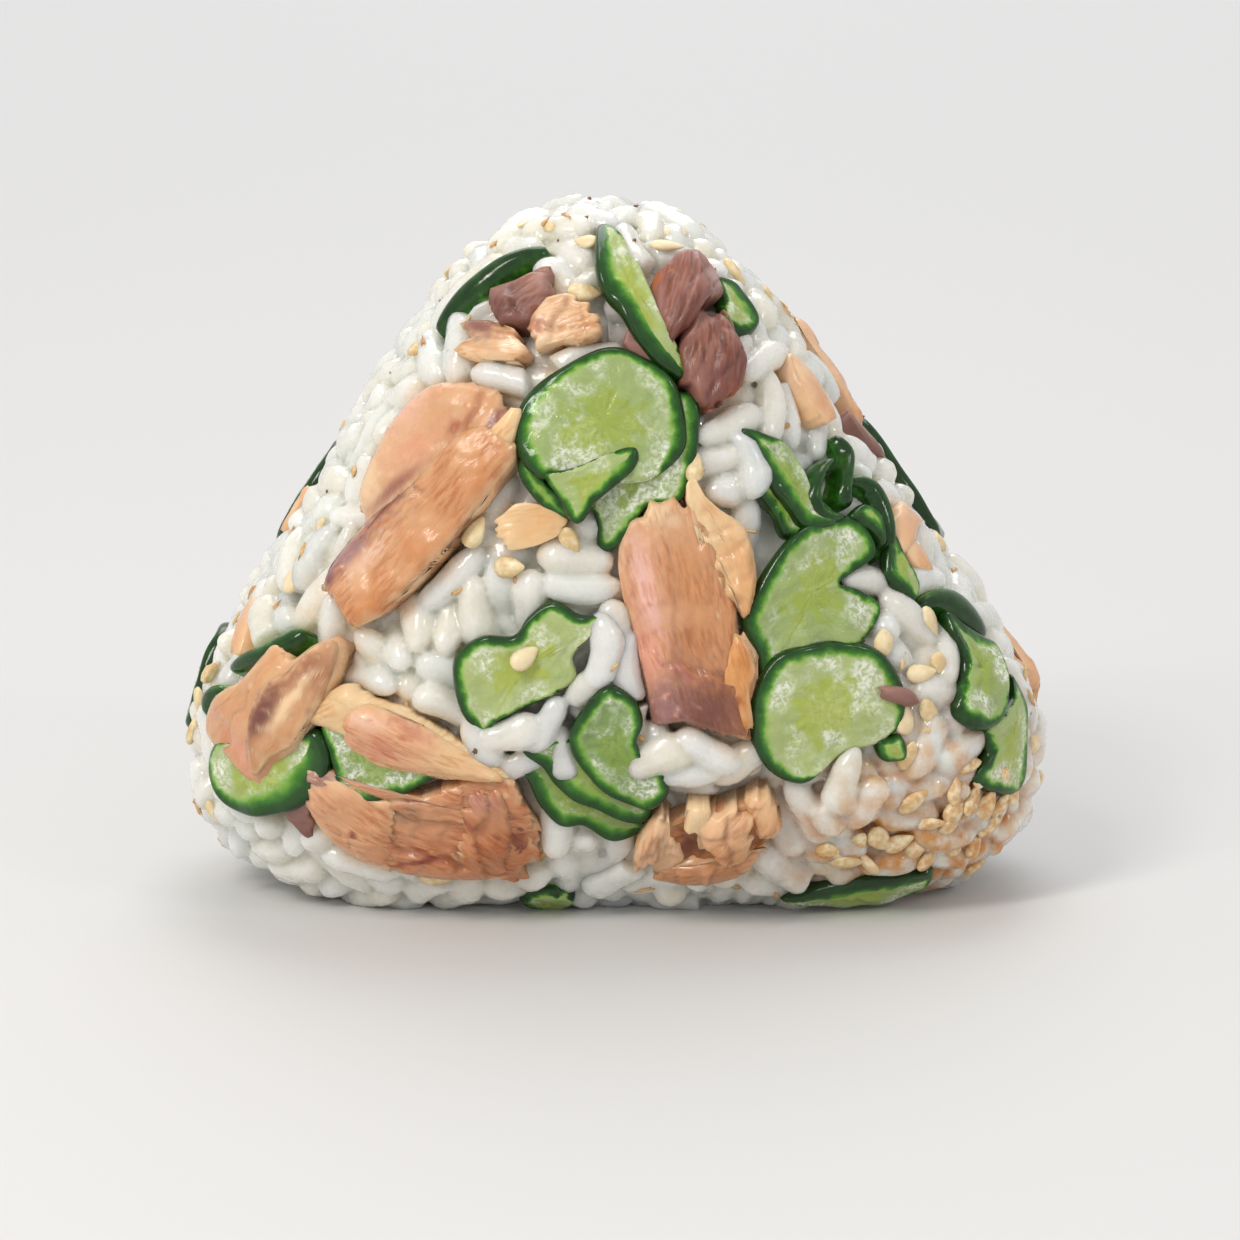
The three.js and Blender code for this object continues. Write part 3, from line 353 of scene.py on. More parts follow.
         tones=("#eebf86", "#d8924e", "#9c552c", 270), stains_and_glints=[(5.2, -8.6, 0.8, 0.4, 60, "#a5542a")]),
    dict(name="fish_middle_flake", at=("front", 11.1, 38.4), crown=0.9, lift=0.5, grain=112, fibrous=0.25,
         fray=0.5, crisp=0.6,
         outline=[(2.5, -0.3), (1.9, 1.6), (0.3, 3.0), (-1.2, 4.2), (-2.3, 5.3), (-3.1, 7.0),
             (-3.8, 6.6), (-3.8, 4.6), (-2.9, 4.2), (-3.4, 2.6), (-2.3, 2.1), (-2.7, 0.4), (-1.3, -0.2),
             (-1.6, -2.1), (-0.3, -2.6), (-0.3, -4.6), (1.0, -5.2), (1.4, -6.6), (2.2, -6.4),
             (2.9, -3.4)],
         tones=("#f2d4a6", "#dfa56c", "#b87944", 330),
         steps=[(-1.6, 3.6, 205, 0.5, 0.5), (-1.0, 1.5, 205, 0.5, 0.5), (0, -0.8, 205, 0.5, 0.5),
             (0.6, -3.4, 205, 0.5, 0.5)]),
    dict(name="cucumber_leaf", at=("front", -8.4, 26.8), lift=-0.2, wave=0.4, frosty=0.4, deep=0.0,
         outline=[(6.8, 3.5), (8.3, 5.4), (5.8, 5.4), (3.1, 6.6), (0.8, 5.2), (-0.7, 3.3), (-3.7, 3.2),
             (-6.3, 1.2), (-6.4, -1.8), (-5.4, -4.8), (-3.6, -6.5), (-2, -4.9), (1.8, -3.1), (5.2, -1),
             (5, 1.3)],
         rind=[0, 0.2, 0.8, 0.9, 0.9, 1, 0.9, 1, 1.1, 1, 0.8, 0.5, 0.4, 0, 0]),
    dict(name="cucumber_stack_top", at=("front", 0.6, 19.5), lift=0.5, lean=(0.12, 40), frosty=0.5,
         deep=0.9,
         outline=[(2.1, 0.5), (2.7, 2.4), (1.9, 4.7), (-0.3, 6.1), (-1.9, 5.3), (-3.4, 3.3), (-4.4, 1),
             (-3.8, -1.6), (-1.7, -4.3), (1, -6.2), (3.4, -6.6), (5.1, -5), (4.9, -2.8), (3.1, -1.3)],
         rind=[0.8, 0.9, 0.9, 0.8, 0.9, 1, 1.1, 1.2, 1.2, 1.2, 1.2, 1.1, 1, 0.9]),
    dict(name="cucumber_stack_middle", at=("front", -2.3, 15.9), lift=-0.5, lean=(0.14, 230), frosty=0.25,
         deep=0.8,
         outline=[(3.5, -1), (1, 2.5), (-1.5, 4.2), (-4.4, 3.9), (-6.1, 3), (-4.2, 1.4), (-2.8, -0.8),
             (-0.5, -2.5), (2.7, -4.1), (5.5, -4.9), (6.5, -3.3)],
         rind=[0, 0, 0.3, 0.8, 1.2, 1.5, 1.6, 1.6, 1.6, 1.4, 1]),
    dict(name="cucumber_stack_under", at=("front", -3.1, 13.5), lift=-1.1, lean=(0.16, 230), frosty=0.15,
         deep=0.7,
         outline=[(3.5, -0.9), (0.1, 1), (-2.4, 3.6), (-4.7, 5.3), (-6.6, 4.6), (-4.9, 2.4),
             (-3.6, -0.6), (-2, -2.6), (0.5, -3.1), (3.1, -4.5), (5.5, -4.4), (6.8, -3)],
         rind=[0, 0, 0, 0.5, 1.2, 1.5, 1.6, 1.6, 1.6, 1.6, 1.4, 1.2]),
    dict(name="fish_crumbly", at=("front", 9.6, 9.1), crown=0.9, grain=30, crisp=0.6, flaky=0.4, fray=1.4,
         outline=[(6.8, 3), (5.7, 4.9), (2.7, 4.2), (-0.8, 3.9), (-2, 1.8), (-4.2, 2.8), (-6, 2),
             (-6.9, -1.3), (-5, -3.7), (-0.8, -4.5), (3.2, -3.1), (5.7, 0.2)],
         tones=("#cf9258", "#b06c38", "#6b3416", 90),
         stains_and_glints=[(-1.6, 0.2, 1.7, 1.3, 20, "#6b3216"), (4.4, 0.8, 0.6, 1.6, 100, "#8a4a22")]),
    dict(name="fish_crumb_left", at=("front", 9.6, 9.1), crown=1.1, lift=0.7, grain=75, crisp=0.3,
         part_of="fish_crumbly", fray=1.5, fibrous=0.65, flaky=0.3, shoulder=1.3,
         outline=[(-2.7, 0.3), (-3.3, 1.5), (-4.6, 3.2), (-6.1, 2.4), (-7.0, 0.3), (-7.1, -1.8),
             (-5.6, -2.9), (-3.7, -2.6), (-2.3, -1.3)],
         tones=("#eec8a4", "#cf9868", "#8f5430", 300),
         steps=[(-5, 0, 75, 0.5, 0.3), (-4.4, 0.4, 10, 0.4, 0.3)]),
    dict(name="fish_crumb_middle", at=("front", 9.6, 9.1), crown=1.3, lift=1.0, grain=40, crisp=0.3,
         part_of="fish_crumbly", fray=1.5, fibrous=0.65, flaky=0.3, shoulder=1.3,
         outline=[(4.2, 0.6), (4.4, 3.3), (2.6, 4.5), (0.4, 3.9), (-1.0, 2.6), (-0.6, 0.6), (0.2, -1.0),
             (1.8, -1.7), (3.6, -1.2)],
         tones=("#ecbf96", "#cc925e", "#8f5430", 280),
         steps=[(1.8, 1.4, 100, 0.6, 0.3), (0.6, 1.2, 30, -0.4, 0.3)]),
    dict(name="fish_crumb_top", at=("front", 9.6, 9.1), crown=1.1, lift=0.8, grain=70, crisp=0.3,
         part_of="fish_crumbly", fray=1.5, fibrous=0.65, flaky=0.3, shoulder=1.3,
         outline=[(7.2, 2.4), (6.6, 4.7), (4.8, 5.5), (3.4, 4.6), (3.9, 2.6), (4.7, 0.6), (6.2, 1.0)],
         tones=("#eec69c", "#c98b56", "#8f5430", 290), facets=[(5.4, 3, 110, 0.5)]),
    dict(name="fish_crumb_flake", at=("front", 9.6, 9.1), crown=0.8, lift=0.9, grain=100, crisp=0.6,
         part_of="fish_crumbly", fray=1.6, fibrous=0.6, shoulder=0.5,
         outline=[(0.4, 2.4), (0.2, 4.2), (-0.9, 5.0), (-2.0, 4.2), (-2.4, 2.2), (-1.2, 1.2)],
         tones=("#f0d3a8", "#deb07a", "#a87040", 270)),
    dict(name="fish_crumb_low", at=("front", 9.6, 9.1), crown=1.0, lift=0.7, grain=15, crisp=0.3,
         part_of="fish_crumbly", fray=1.5, fibrous=0.65, flaky=0.3, shoulder=1.3,
         outline=[(5.4, 0.2), (3.8, -0.8), (1.0, -1.3), (-1.4, -1.0), (-3.2, -1.7), (-5.6, -2.4),
             (-5.4, -3.8), (-2.4, -4.6), (1.0, -4.4), (3.8, -3.0)],
         tones=("#dcab80", "#b97c50", "#80482a", 250),
         steps=[(0.4, -2.6, 80, 0.5, 0.3), (-2.8, -3, 110, -0.5, 0.3)]),
    dict(name="fish_spear", at=("front", -20.1, 20), crown=1.0, grain=25, fibrous=0.7, fray=0.3,
         outline=[(10.5, -3.9), (7, -1.1), (3, 1.3), (-0.5, 3), (-3.6, 4.1), (-5.2, 4.8), (-7.5, 3.4),
             (-9.7, 1.1), (-7.4, 0.3), (-5.3, -0.4), (-3.5, -1.7), (-0.8, -3.2), (4, -3.2), (7.5, -4)],
         tones=("#efd7ac", "#e2bd8a", "#b98a58", 200)),
    dict(name="fish_spear_body", at=("front", -20.1, 20), crown=1.5, lift=0.5, grain=158,
         part_of="fish_spear", fibrous=0.75, fray=0.9, shoulder=1.7,
         outline=[(10.3, -4.2), (7.9, -2.1), (5.4, -0.5), (2.8, 1.2), (-0.3, 2.4), (-2.5, 3.1),
             (-4.6, 2.7), (-5.7, 0.9), (-5.5, -1.3), (-4.2, -2.8), (-2.4, -3.5), (1, -3.8), (4.5, -4.1)],
         tones=("#e8ab88", "#e6c191", "#b9835c", 335), facets=[(-1.6, 1.2, 150, 0.3)],
         # the first stain, pale pink, is a painted glint
         stains_and_glints=[(-2.8, 1.7, 1.8, 0.6, 170, "#eec6ac"), (-1.4, -1.2, 1.4, 1.6, 100, "#d89676"),
             (1.4, 1.0, 1.8, 0.5, 150, "#cf9274")]),
    dict(name="fish_corner", at=("front", -33, 21.3), crown=1.3, grain=58, fibrous=0.15, fray=0.5,
         outline=[(5.5, 2), (6.8, 5.5), (7.2, 8.2), (4.5, 7), (2.4, 5.2), (0.4, 6.4), (-1.3, 4.4),
             (-3.2, 2.2), (-6.7, 0), (-8, -3.2), (-5.5, -5), (-3.2, -6.9), (-0.6, -9), (0.7, -5.6),
             (3.2, -2.5)],
         tones=("#e0b488", "#c78c60", "#9c5a38", 285), facets=[(-2, -1, 150, 0.12)],
         steps=[(-1.5, 0.5, 62, -0.5, 0.4)],
         stains_and_glints=[(-5.6, -1.4, 1.2, 0.5, 40, "#cf8e64"), (-1.6, -5.2, 2.2, 1.0, 120, "#dd9c80"),
             (-4.4, -3.2, 1.2, 0.5, 60, "#d08a5c"), (0.2, 3.6, 2.4, 0.5, 60, "#d99e6a")]),
    dict(name="fish_corner_fold", at=("front", -33, 21.3), crown=0.8, lift=1.2, grain=57,
         part_of="fish_corner", fibrous=0.12, fray=0.4, shoulder=0.9,
         outline=[(5.3, 1.4), (7.0, 6.4), (6.6, 7.6), (4.6, 6.4), (2.7, 4.0), (0.9, 3.0), (-0.6, 0.6),
             (-1.3, -2.6), (-1.2, -6.6), (0.4, -4.8), (3.0, -2.6)],
         tones=("#e2b386", "#c48858", "#9c5a34", 270),
         stains_and_glints=[(0.7, -0.2, 3.2, 1.0, 59, "#6c3836"), (5.1, 4.2, 2.9, 1.15, 52, "#93502e"),
             (3.2, 1.2, 3.4, 0.45, 57, "#f2d2a8")]),
    dict(name="cucumber_corner", at=("front", -33.5, 15), lift=0, lean=(0.1, 290), frosty=0.6, deep=0.2,
         outline=[(6.3, 2.2), (5, 4.8), (2.5, 4.2), (-2.5, 2.8), (-5.7, 1.8), (-6.5, -0.3), (-5.4, -2.8),
             (-3.5, -4.4), (-0.5, -4.5), (3, -3.3), (5.4, -1)],
         rind=[2.6, 1.8, 0.3, 0, 0.5, 1, 1.2, 1.6, 2.1, 2.6, 2.8]),
    dict(name="cucumber_under_spear", at=("front", -22.1, 16.8), lift=-0.4, lean=(0.08, 270), frosty=0.85,
         deep=0.9,
         outline=[(6, -0.4), (5.5, 2.4), (1.5, 3.2), (-3.2, 4.4), (-5.9, 3.8), (-5.1, 1.3), (-4.4, -1),
             (-4.5, -2.7), (-2, -3.6), (1.2, -3.3), (3.7, -2)],
         rind=[0.5, 0.2, 0, 0, 0.5, 0.8, 1, 1.2, 1.3, 1.3, 1]),
    dict(name="dark_meat_foot", at=("front", -30.1, 10.9), crown=0.4, crumb=True,
         outline=[(1.2, 2), (-1, 1.1), (-1.9, 0.2), (-0.4, -1.4), (1.2, -2.4)]),
    dict(name="fish_bottom", at=("front", -17.9, 10.4), crown=1.2, grain=168, fibrous=0.9, flaky=0.25,
         outline=[(9.5, 4), (7.5, 5.7), (3, 5), (-0.5, 3.6), (-4.6, 3.2), (-8.2, 4.8), (-10.6, 5.6),
             (-11.9, 4.2), (-11.2, 1.2), (-8.5, -1.8), (-5, -4), (-0.5, -5.5), (6.5, -6), (10, -4.3),
             (10.7, 0)],
         tones=("#deaa82", "#c27a4c", "#8c4626", 300),
         steps=[(0, -2.6, 162, 0.7, 0.4), (0.6, 1.6, 170, -0.4, 0.4)],
         stains_and_glints=[(-0.5, -3.1, 2.6, 0.3, 15, "#8e4434"), (-10.2, 4.4, 1.5, 1.1, 30, "#b08e86"),
             (-1.6, 2.2, 1.6, 0.8, 10, "#a98264")]),
    dict(name="fish_bottom_left", at=("front", -17.9, 10.4), crown=0.7, lift=0.5, grain=150, crisp=0.4,
         part_of="fish_bottom", fibrous=0.8, fray=1.9, shoulder=1.4,
         outline=[(-3.0, 3.0), (-5, 3.2), (-8.2, 4.6), (-10.6, 5.0), (-11.8, 3.8), (-11.2, 1.0),
             (-8.8, -2.0), (-5.6, -4.0), (-3.0, -4.6), (-2.6, -1)],
         tones=("#e0ae86", "#c88450", "#96522c", 330), stains_and_glints=[(-6.8, -0.4, 0.3, 0.25, 0, "#8a3f2c")]),
    dict(name="fish_bottom_right", at=("front", -17.9, 10.4), crown=1.1, lift=0.45, grain=140, crisp=0.4,
         part_of="fish_bottom", fibrous=0.9, flaky=0.5, fray=1.9, shoulder=2.2,
         outline=[(10.9, -1), (10.0, 3.2), (8.2, 5.2), (5, 5.3), (3.4, 3.6), (3.8, 1), (3.2, -2),
             (4.4, -5.2), (7, -6.0), (10.2, -4.4)],
         tones=("#d8a078", "#b96f38", "#823e20", 285), facets=[(6.5, 0, 255, 0.25)],
         stains_and_glints=[(3.0, 3.2, 0.8, 0.6, 20, "#e4c6ae"), (5.2, 3.9, 2.2, 0.9, 170, "#c28c78"),
             (9.2, -1.2, 0.7, 2.6, 0, "#8e4c34"), (4.4, 1.4, 0.4, 1.4, 60, "#a4583e")]),
    dict(name="dark_meat_fleck", at=("front", 27.8, 23.5), crown=1.4, crumb=True,
         outline=[(2, -1), (1.4, 0.1), (0, 0.8), (-1.9, 0.9), (-1.6, -0.2), (0.4, -1.2)]),
    dict(name="cucumber_side_round", at=("front", 20.8, 22.5), lift=-0.1, lean=(0.08, 160), frosty=0.45,
         deep=0.0,
         outline=[(8, 0.7), (7.3, 3), (5.5, 5.3), (2.5, 6.5), (-1.5, 6.5), (-4.8, 5.7), (-6.6, 3.3),
             (-7.4, 0), (-6.9, -3.3), (-5, -6), (-2.3, -7.2), (-0.2, -6), (2.2, -4.2), (5.5, -3.6),
             (7.5, -2)],
         rind=[1.2, 1.3, 1.2, 1.2, 1.2, 1.3, 1.4, 1.5, 1.4, 1.1, 0.8, 0.2, 0, 0.1, 0.8]),
    dict(name="cucumber_notched", at=("front", 19.5, 33.9), lift=-0.4, lean=(0.08, 170), wave=0.4,
         frosty=0.35, deep=0.3,
         outline=[(4.4, 1.4), (7, 3.2), (5.6, 6.2), (2.6, 6.8), (-1.2, 5.8), (-3.8, 3.5), (-6.1, -0.5),
             (-6.5, -3), (-5, -5.8), (-4.4, -8.1), (-2.6, -6.5), (1.3, -5.5), (5, -5.4), (7.2, -2.3),
             (5.2, -0.4), (2.8, 0.4)],
         rind=[0.9, 1.1, 1.2, 1.1, 1.1, 1.2, 1.3, 1.3, 1.2, 1.2, 0.9, 0.5, 0.5, 0.6, 0.7, 0.5]),
    dict(name="cucumber_curl", at=("front", 21.4, 42.6), crown=1, width=1.5,
         path=[(0.8, 3), (-1, 2), (-1.8, 0), (-0.8, -1.9), (1.6, -2.5)]),
    dict(name="cucumber_twist", at=("front", 25.6, 40.5), crown=1.1, width=1.5,
         path=[(-2.1, 2.9), (-0.3, 1.8), (0.7, 0), (1.4, -2), (1.9, -4.2)]),
    dict(name="cucumber_trail", at=("front", 28.3, 34.8), lift=-0.5, wave=0,
         outline=[(1.9, -1.9), (1.1, 0.2), (0, 1.9), (-0.8, 3.2), (-1.5, 1.8), (-1.3, -0.4), (0, -2),
             (1.3, -3.2)],
         rind=[0.4, 0.4, 0.7, 0.8, 0.8, 0.8, 0.8, 0.6]),
    dict(name="cucumber_shoulder", at=("front", 17.2, 44.1), lift=-0.3, lean=(0.2, 215), frosty=0.35,
         deep=0.6,
         outline=[(2.7, -1.8), (1.5, 1.2), (0, 3.5), (-2.3, 4.5), (-4.8, 5.2), (-3.3, 2.4), (-2, 0),
             (0, -2.8), (1.7, -4.6), (5, -4.2)],
         rind=[0.3, 0, 0.3, 0.8, 1, 1.2, 1.4, 1.4, 1.3, 1]),
    dict(name="cucumber_under_shoulder", at=("front", 16.7, 41.9), lift=-1, lean=(0.1, 215), crumb=True,
         outline=[(1, 0.1), (-0.8, 2.4), (-2.6, 3.8), (-2.3, 1.4), (-0.8, -0.8), (0.3, -2.9), (1.7, -3),
             (2.9, -2.2)],
         rind=[0, 0.3, 0.8, 1, 1, 1, 0.9, 0.8]),
    dict(name="cucumber_right_band", at=("front", 34.3, 29.8), crown=0.7, width=1.9,
         path=[(-3.6, 2.1), (-1.2, 1.2), (1.1, -0.5), (3.6, -2.8)]),
    dict(name="cucumber_right_fold", at=("front", 36.2, 24.3), lift=0, lean=(0.1, 250), frosty=0.4,
         deep=0.4,
         outline=[(2.6, -1.7), (2.4, 1.8), (0.7, 3), (-1.8, 4.6), (-3.3, 6), (-3, 3.8), (-1.8, 1.2),
             (-2.2, -2.4), (-1, -4.3), (0.7, -5.2), (2.2, -4.4)],
         rind=[0.3, 0.6, 1.1, 1.2, 1.2, 0.6, 0.4, 0.6, 0.9, 0.9, 0.7]),
    dict(name="cucumber_right_edge", at=("front", 39.2, 17), lift=-0.4, wave=0, frosty=0.4, deep=0.1,
         outline=[(2.2, -0.3), (2.6, 3.2), (1.6, 6.2), (0.8, 4.2), (-0.6, 3), (-2.4, 2), (-2, -0.3),
             (-2.8, -2.6), (-0.8, -4.6), (1.6, -5.1)],
         rind=[0.7, 0.8, 0.8, 0.5, 0.2, 0.3, 0.6, 0.8, 0.8, 0.8]),
    dict(name="cucumber_left_edge", at=("front", -34, 26.4), crown=0.6, width=1.8,
         path=[(-3.7, -2.2), (-1.4, -1), (0.4, -0.2), (2.2, 1.2), (3.9, 2.8)]),
    dict(name="cucumber_left_slope", at=("left", 6.2, 38.6), lift=-0.3, wave=0.1,
         outline=oval(5.2, 4.6, 100)),
    dict(name="fish_left_fleck", at=("front", -35.7, 28.5), crown=0.4, grain=68, crumb=True,
         outline=[(0.6, -0.8), (1.1, 2.2), (-0.2, 1.1), (-1.1, -1), (-1, -2.6), (0, -2.7)]),
    dict(name="fish_right_shred", at=("front", 29.3, 38.4), crown=0.8, grain=150,
         outline=[(2.8, -1.3), (0.7, 0.4), (-0.8, 1.6), (-2.4, 1), (-2, -0.8), (-0.9, -2.2), (0.9, -1.2)]),
    dict(name="fish_right_strip", at=("front", 29.7, 36), crown=0.6, grain=125, crumb=True,
         outline=[(1.9, -2.9), (0.9, -0.6), (-0.6, 1.2), (-2, 2.2), (-1.2, 0.4), (0.2, -1.6)]),
    dict(name="cucumber_base_right", at=("front", 24.2, 2.6), lift=-0.3, wave=0.1,
         outline=[(7.6, 1.6), (4.5, 1.4), (0, 1.2), (-3.5, 0.3), (-7.4, -1.2), (-3, -2.2), (3, -2.2),
             (7, -0.6)],
         rind=[1, 1, 1, 1, 0.6, 0, 0, 0.5]),
    dict(name="cucumber_base_middle", at=("front", -6.1, 1.2), lift=-0.5, wave=0, crumb=True,
         outline=[(2.8, 0.4), (1, 1.2), (-1.4, 1.1), (-2.8, 0), (-1.6, -1.3), (1.6, -1.2)],
         rind=[0.2, 0.2, 0.5, 1, 0.9, 0.2]),
    dict(name="cucumber_back_round", at=("back", 5, 46), lift=0.1, lean=(0.06, 30),
         outline=oval(8, 7.6)),
    dict(name="fish_back_long", at=("back", 13.5, 32.5), crown=1.9, grain=128, crisp=0.5, fibrous=0.6,
         shoulder=1.0,
         outline=torn(10.8, 5, 128),
         tones=("#efc9a6", "#d8995c", "#a05c40", 60), steps=[(0, 1, 118, 0.7, 0.4)],
         stains_and_glints=[(-2, 4, 3.2, 0.7, 128, "#96584a"), (3, -5, 3, 1.6, 128, "#eccba4")]),
    dict(name="cucumber_back_left", at=("back", -16, 33), lift=-0.1, lean=(0.08, 200),
         outline=oval(7.6, 6.6, 40)),
    dict(name="cucumber_back_low", at=("back", 22, 19.5), lift=0, lean=(0.08, 120),
         outline=oval(7.2, 6, 20)),
    dict(name="fish_back_broad", at=("back", -15, 18), crown=1.9, grain=12, crisp=0.5, fibrous=0.8,
         flaky=0.25, shoulder=1.0,
         outline=torn(8.8, 5.2, 12),
         tones=("#dcab8c", "#c2805a", "#8f4c30", 300),
         steps=[(2, 0, 20, 0.7, 0.4), (-3, 0, 80, -0.5, 0.4)],
         stains_and_glints=[(-3, -1.5, 3.2, 0.8, 12, "#8b5446"), (4, 1.5, 2.4, 1.2, 12, "#eccba4")]),
    dict(name="cucumber_back_foot", at=("back", 0, 11), lift=-0.2, lean=(0.12, 90),
         outline=oval(7, 4.6, 165)),
    dict(name="cucumber_back_corner", at=("back", -31.5, 13), lift=-0.2,
         outline=oval(6, 5, 60)),
    dict(name="fish_back_upper", at=("back", -8.5, 51), crown=1.6, grain=62, crisp=0.5, fibrous=0.4,
         outline=torn(7.2, 3.8, 62),
         tones=("#f2d4a6", "#dfa56c", "#b87944", 330), steps=[(0, 0, 50, 0.6, 0.4)],
         stains_and_glints=[(1.4, 3, 1.8, 0.6, 62, "#a3603c")]),
    dict(name="dark_meat_back", at=("back", 0.5, 28), crown=1.6, grain=40, crisp=0.5, fibrous=1.0,
         flaky=0.4, fray=1.4, shoulder=0.6,
         outline=torn(4.4, 3.4, 40),
         facets=[(0, 0, 40, 0.3)]),
    dict(name="fish_back_foot", at=("back", 15, 8), crown=1.4, grain=170, crisp=0.5, flaky=0.5,
         fibrous=0.5,
         outline=torn(6.2, 3.2, 170),
         tones=("#ebb984", "#cf8d52", "#9a5828", 280),
         steps=[(-1, 0, 90, 0.7, 0.3), (2.4, 0, 70, -0.6, 0.3)]),
    dict(name="cucumber_back_crest", at=("back", 1.5, 60), crown=0.6, width=1.5,
         path=[(-5.6, 2.2), (-2, 0.4), (2.2, 0.2), (5.6, -2)]),
    dict(name="cucumber_right_slope", at=("right", 9, 39), lift=-0.1,
         outline=oval(6.4, 5.6, 70)),
    dict(name="fish_right_slope", at=("right", 1.5, 51.5), crown=1, grain=60, crisp=0.5, fibrous=0.5,
         outline=torn(5, 2.4, 60)),
    dict(name="fish_right_low", at=("right", 11, 20.5), crown=1.5, grain=30, crisp=0.5, fibrous=0.6,
         outline=torn(7, 3.8, 30),
         tones=("#e9bd96", "#cf8d52", "#9a5828", 280), steps=[(0, 0, 40, 0.6, 0.4)],
         stains_and_glints=[(2, 1.4, 2, 0.6, 30, "#8b5446")]),
    dict(name="fish_left_back", at=("left", 13, 31), crown=1.3, grain=110, crisp=0.5, fibrous=0.5,
         outline=torn(6.4, 3.2, 110),
         tones=("#e6b896", "#cc8c5c", "#9a5a38", 300), steps=[(0, 1, 100, 0.6, 0.4)],
         stains_and_glints=[(-1, -2, 2.2, 0.6, 110, "#87503f")]),
    dict(name="cucumber_left_low", at=("left", 6, 19.5), lift=-0.2,
         outline=oval(6, 5.6, 20)),
    dict(name="fish_middle_tail", at=("front", 13.2, 27.3), crown=0.7, grain=95, crumb=True,
         outline=[(0.6, -0.4), (1.2, 0.8), (-0.2, 3.7), (-1, 1.5), (-1.3, -1), (-0.6, -4), (1.1, -3)]),
    dict(name="cucumber_hook", at=("front", 23, 44.2), crown=0.9, width=1.3, crumb=True,
         path=[(-0.7, 3.1), (0.2, 1.4), (-0.1, -0.4), (-0.1, -1.9), (0.6, -3)]),
    dict(name="cucumber_fold", at=("front", 25.2, 39.3), lift=-0.1, crumb=True,
         outline=[(1.4, -1.6), (0.7, 0.8), (-0.8, 1.7), (-2, 1), (-1.3, 0.2), (0, -0.9), (1.2, -2.4)],
         rind=[0.9]),
    dict(name="cucumber_crescent", at=("front", 27.2, 18.3), lift=-0.4, crumb=True,
         outline=[(1.5, 0.2), (0.9, 1.3), (-0.3, 1.1), (-1.4, 0.8), (-1.1, -0.8), (0, -1.4), (1.4, -1.2)],
         rind=[0.7, 0.6, 0.6, 0.7, 0.8, 0.8, 0.7]),
    dict(name="cucumber_left_sliver", at=("front", -39.3, 20.7), crown=0.4, width=1.4, crumb=True,
         path=[(-1.2, -1.8), (-0.7, -0.5), (0.3, 0.6), (1.4, 1.4)]),
    dict(name="fish_left_slope", at=("left", 0, 37.6), crown=0.5, grain=80, crumb=True,
         outline=oval(2.6, 1.2, 80)),
    dict(name="fish_upper_right", at=("front", 19.8, 51), crown=0.5, lift=0.4, grain=130, crumb=True,
         outline=[(2, -2.6), (0.6, 0.6), (-1.4, 3), (-2.8, 3.8), (-1.4, 0.6), (0.6, -2.4)]),
    dict(name="dark_meat_upper_right", at=("right", -3.4, 45.6), crown=0.5, grain=130, crumb=True,
         outline=oval(3.2, 1, 125)),
]

for topping in TOPPINGS:
    flat_kind = "slice" if topping["name"].startswith("cucumber") else "chunk"
    topping["kind"] = "band" if "path" in topping else flat_kind

# ---- meshes ----


def colour(code):
    """An sRGB hex colour as linear red, green, blue and alpha."""
    parts = [int(code[i:i + 2], 16) / 255 for i in (1, 3, 5)]
    return [c / 12.92 if c <= 0.04045 else ((c + 0.055) / 1.055) ** 2.4 for c in parts] + [1.0]


def primitive(add, name, **settings):
    """Adds a primitive with bpy.ops, with nothing else selected, and names it."""
    bpy.ops.object.select_all(action="DESELECT")
    add(**settings)
    made = bpy.context.object
    made.name = made.data.name = name
    return made


def points_of(mesh):
    """Where a mesh's vertices are, in its own units."""
    flat = np.empty(len(mesh.vertices) * 3, np.float32)
    mesh.vertices.foreach_get("co", flat)
    return flat.reshape(-1, 3).astype(float)


def place_points(mesh, points):
    """Moves a mesh's vertices to points given in millimetres."""
    mesh.vertices.foreach_set("co", (points * MM).astype(np.float32).ravel())
    mesh.update()


def keep_values(mesh, **kept):
    """Keeps numbers or colours for each vertex, by name, for the material to read."""
    for name, values in kept.items():
        is_colour = np.ndim(values) == 2
        made = mesh.attributes.new(name, "FLOAT_COLOR" if is_colour else "FLOAT", "POINT")
        if not is_colour:
            values = np.broadcast_to(values, len(mesh.vertices))
        made.data.foreach_set("color" if is_colour else "value", np.asarray(values, np.float32).ravel())


def keep_map(mesh, name, x, y):
    """Keeps two lengths in millimetres for each vertex as a UV map."""
    corners = np.empty(len(mesh.loops), np.int32)
    mesh.loops.foreach_get("vertex_index", corners)
    layer_made = mesh.uv_layers.new(name=name)
    layer_made.data.foreach_set("uv", np.stack([x, y], axis=1)[corners].astype(np.float32).ravel())


def close_below(made):
    """Fills the open underside of a piece that was bent out of a flat grid."""
    bpy.ops.object.mode_set(mode="EDIT")
    bpy.ops.mesh.select_mode(type="EDGE")
    bpy.ops.mesh.select_all(action="DESELECT")
    bpy.ops.mesh.select_non_manifold()
    bpy.ops.mesh.edge_face_add()
    bpy.ops.mesh.select_all(action="SELECT")
    bpy.ops.mesh.normals_make_consistent(inside=False)
    bpy.ops.object.mode_set(mode="OBJECT")


def finish_piece(made, material, slot, *nodes):
    """Gives a piece its finish and the CAD nodes that it stands for. Its slot is not used."""
    bpy.ops.object.select_all(action="DESELECT")
    made.select_set(True)
    bpy.context.view_layer.objects.active = made
    bpy.ops.object.shade_smooth()
    made.data.materials.clear()
    made.data.materials.append(material)
    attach(made, "root")
    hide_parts(*nodes)


# ---- cucumber slices ----

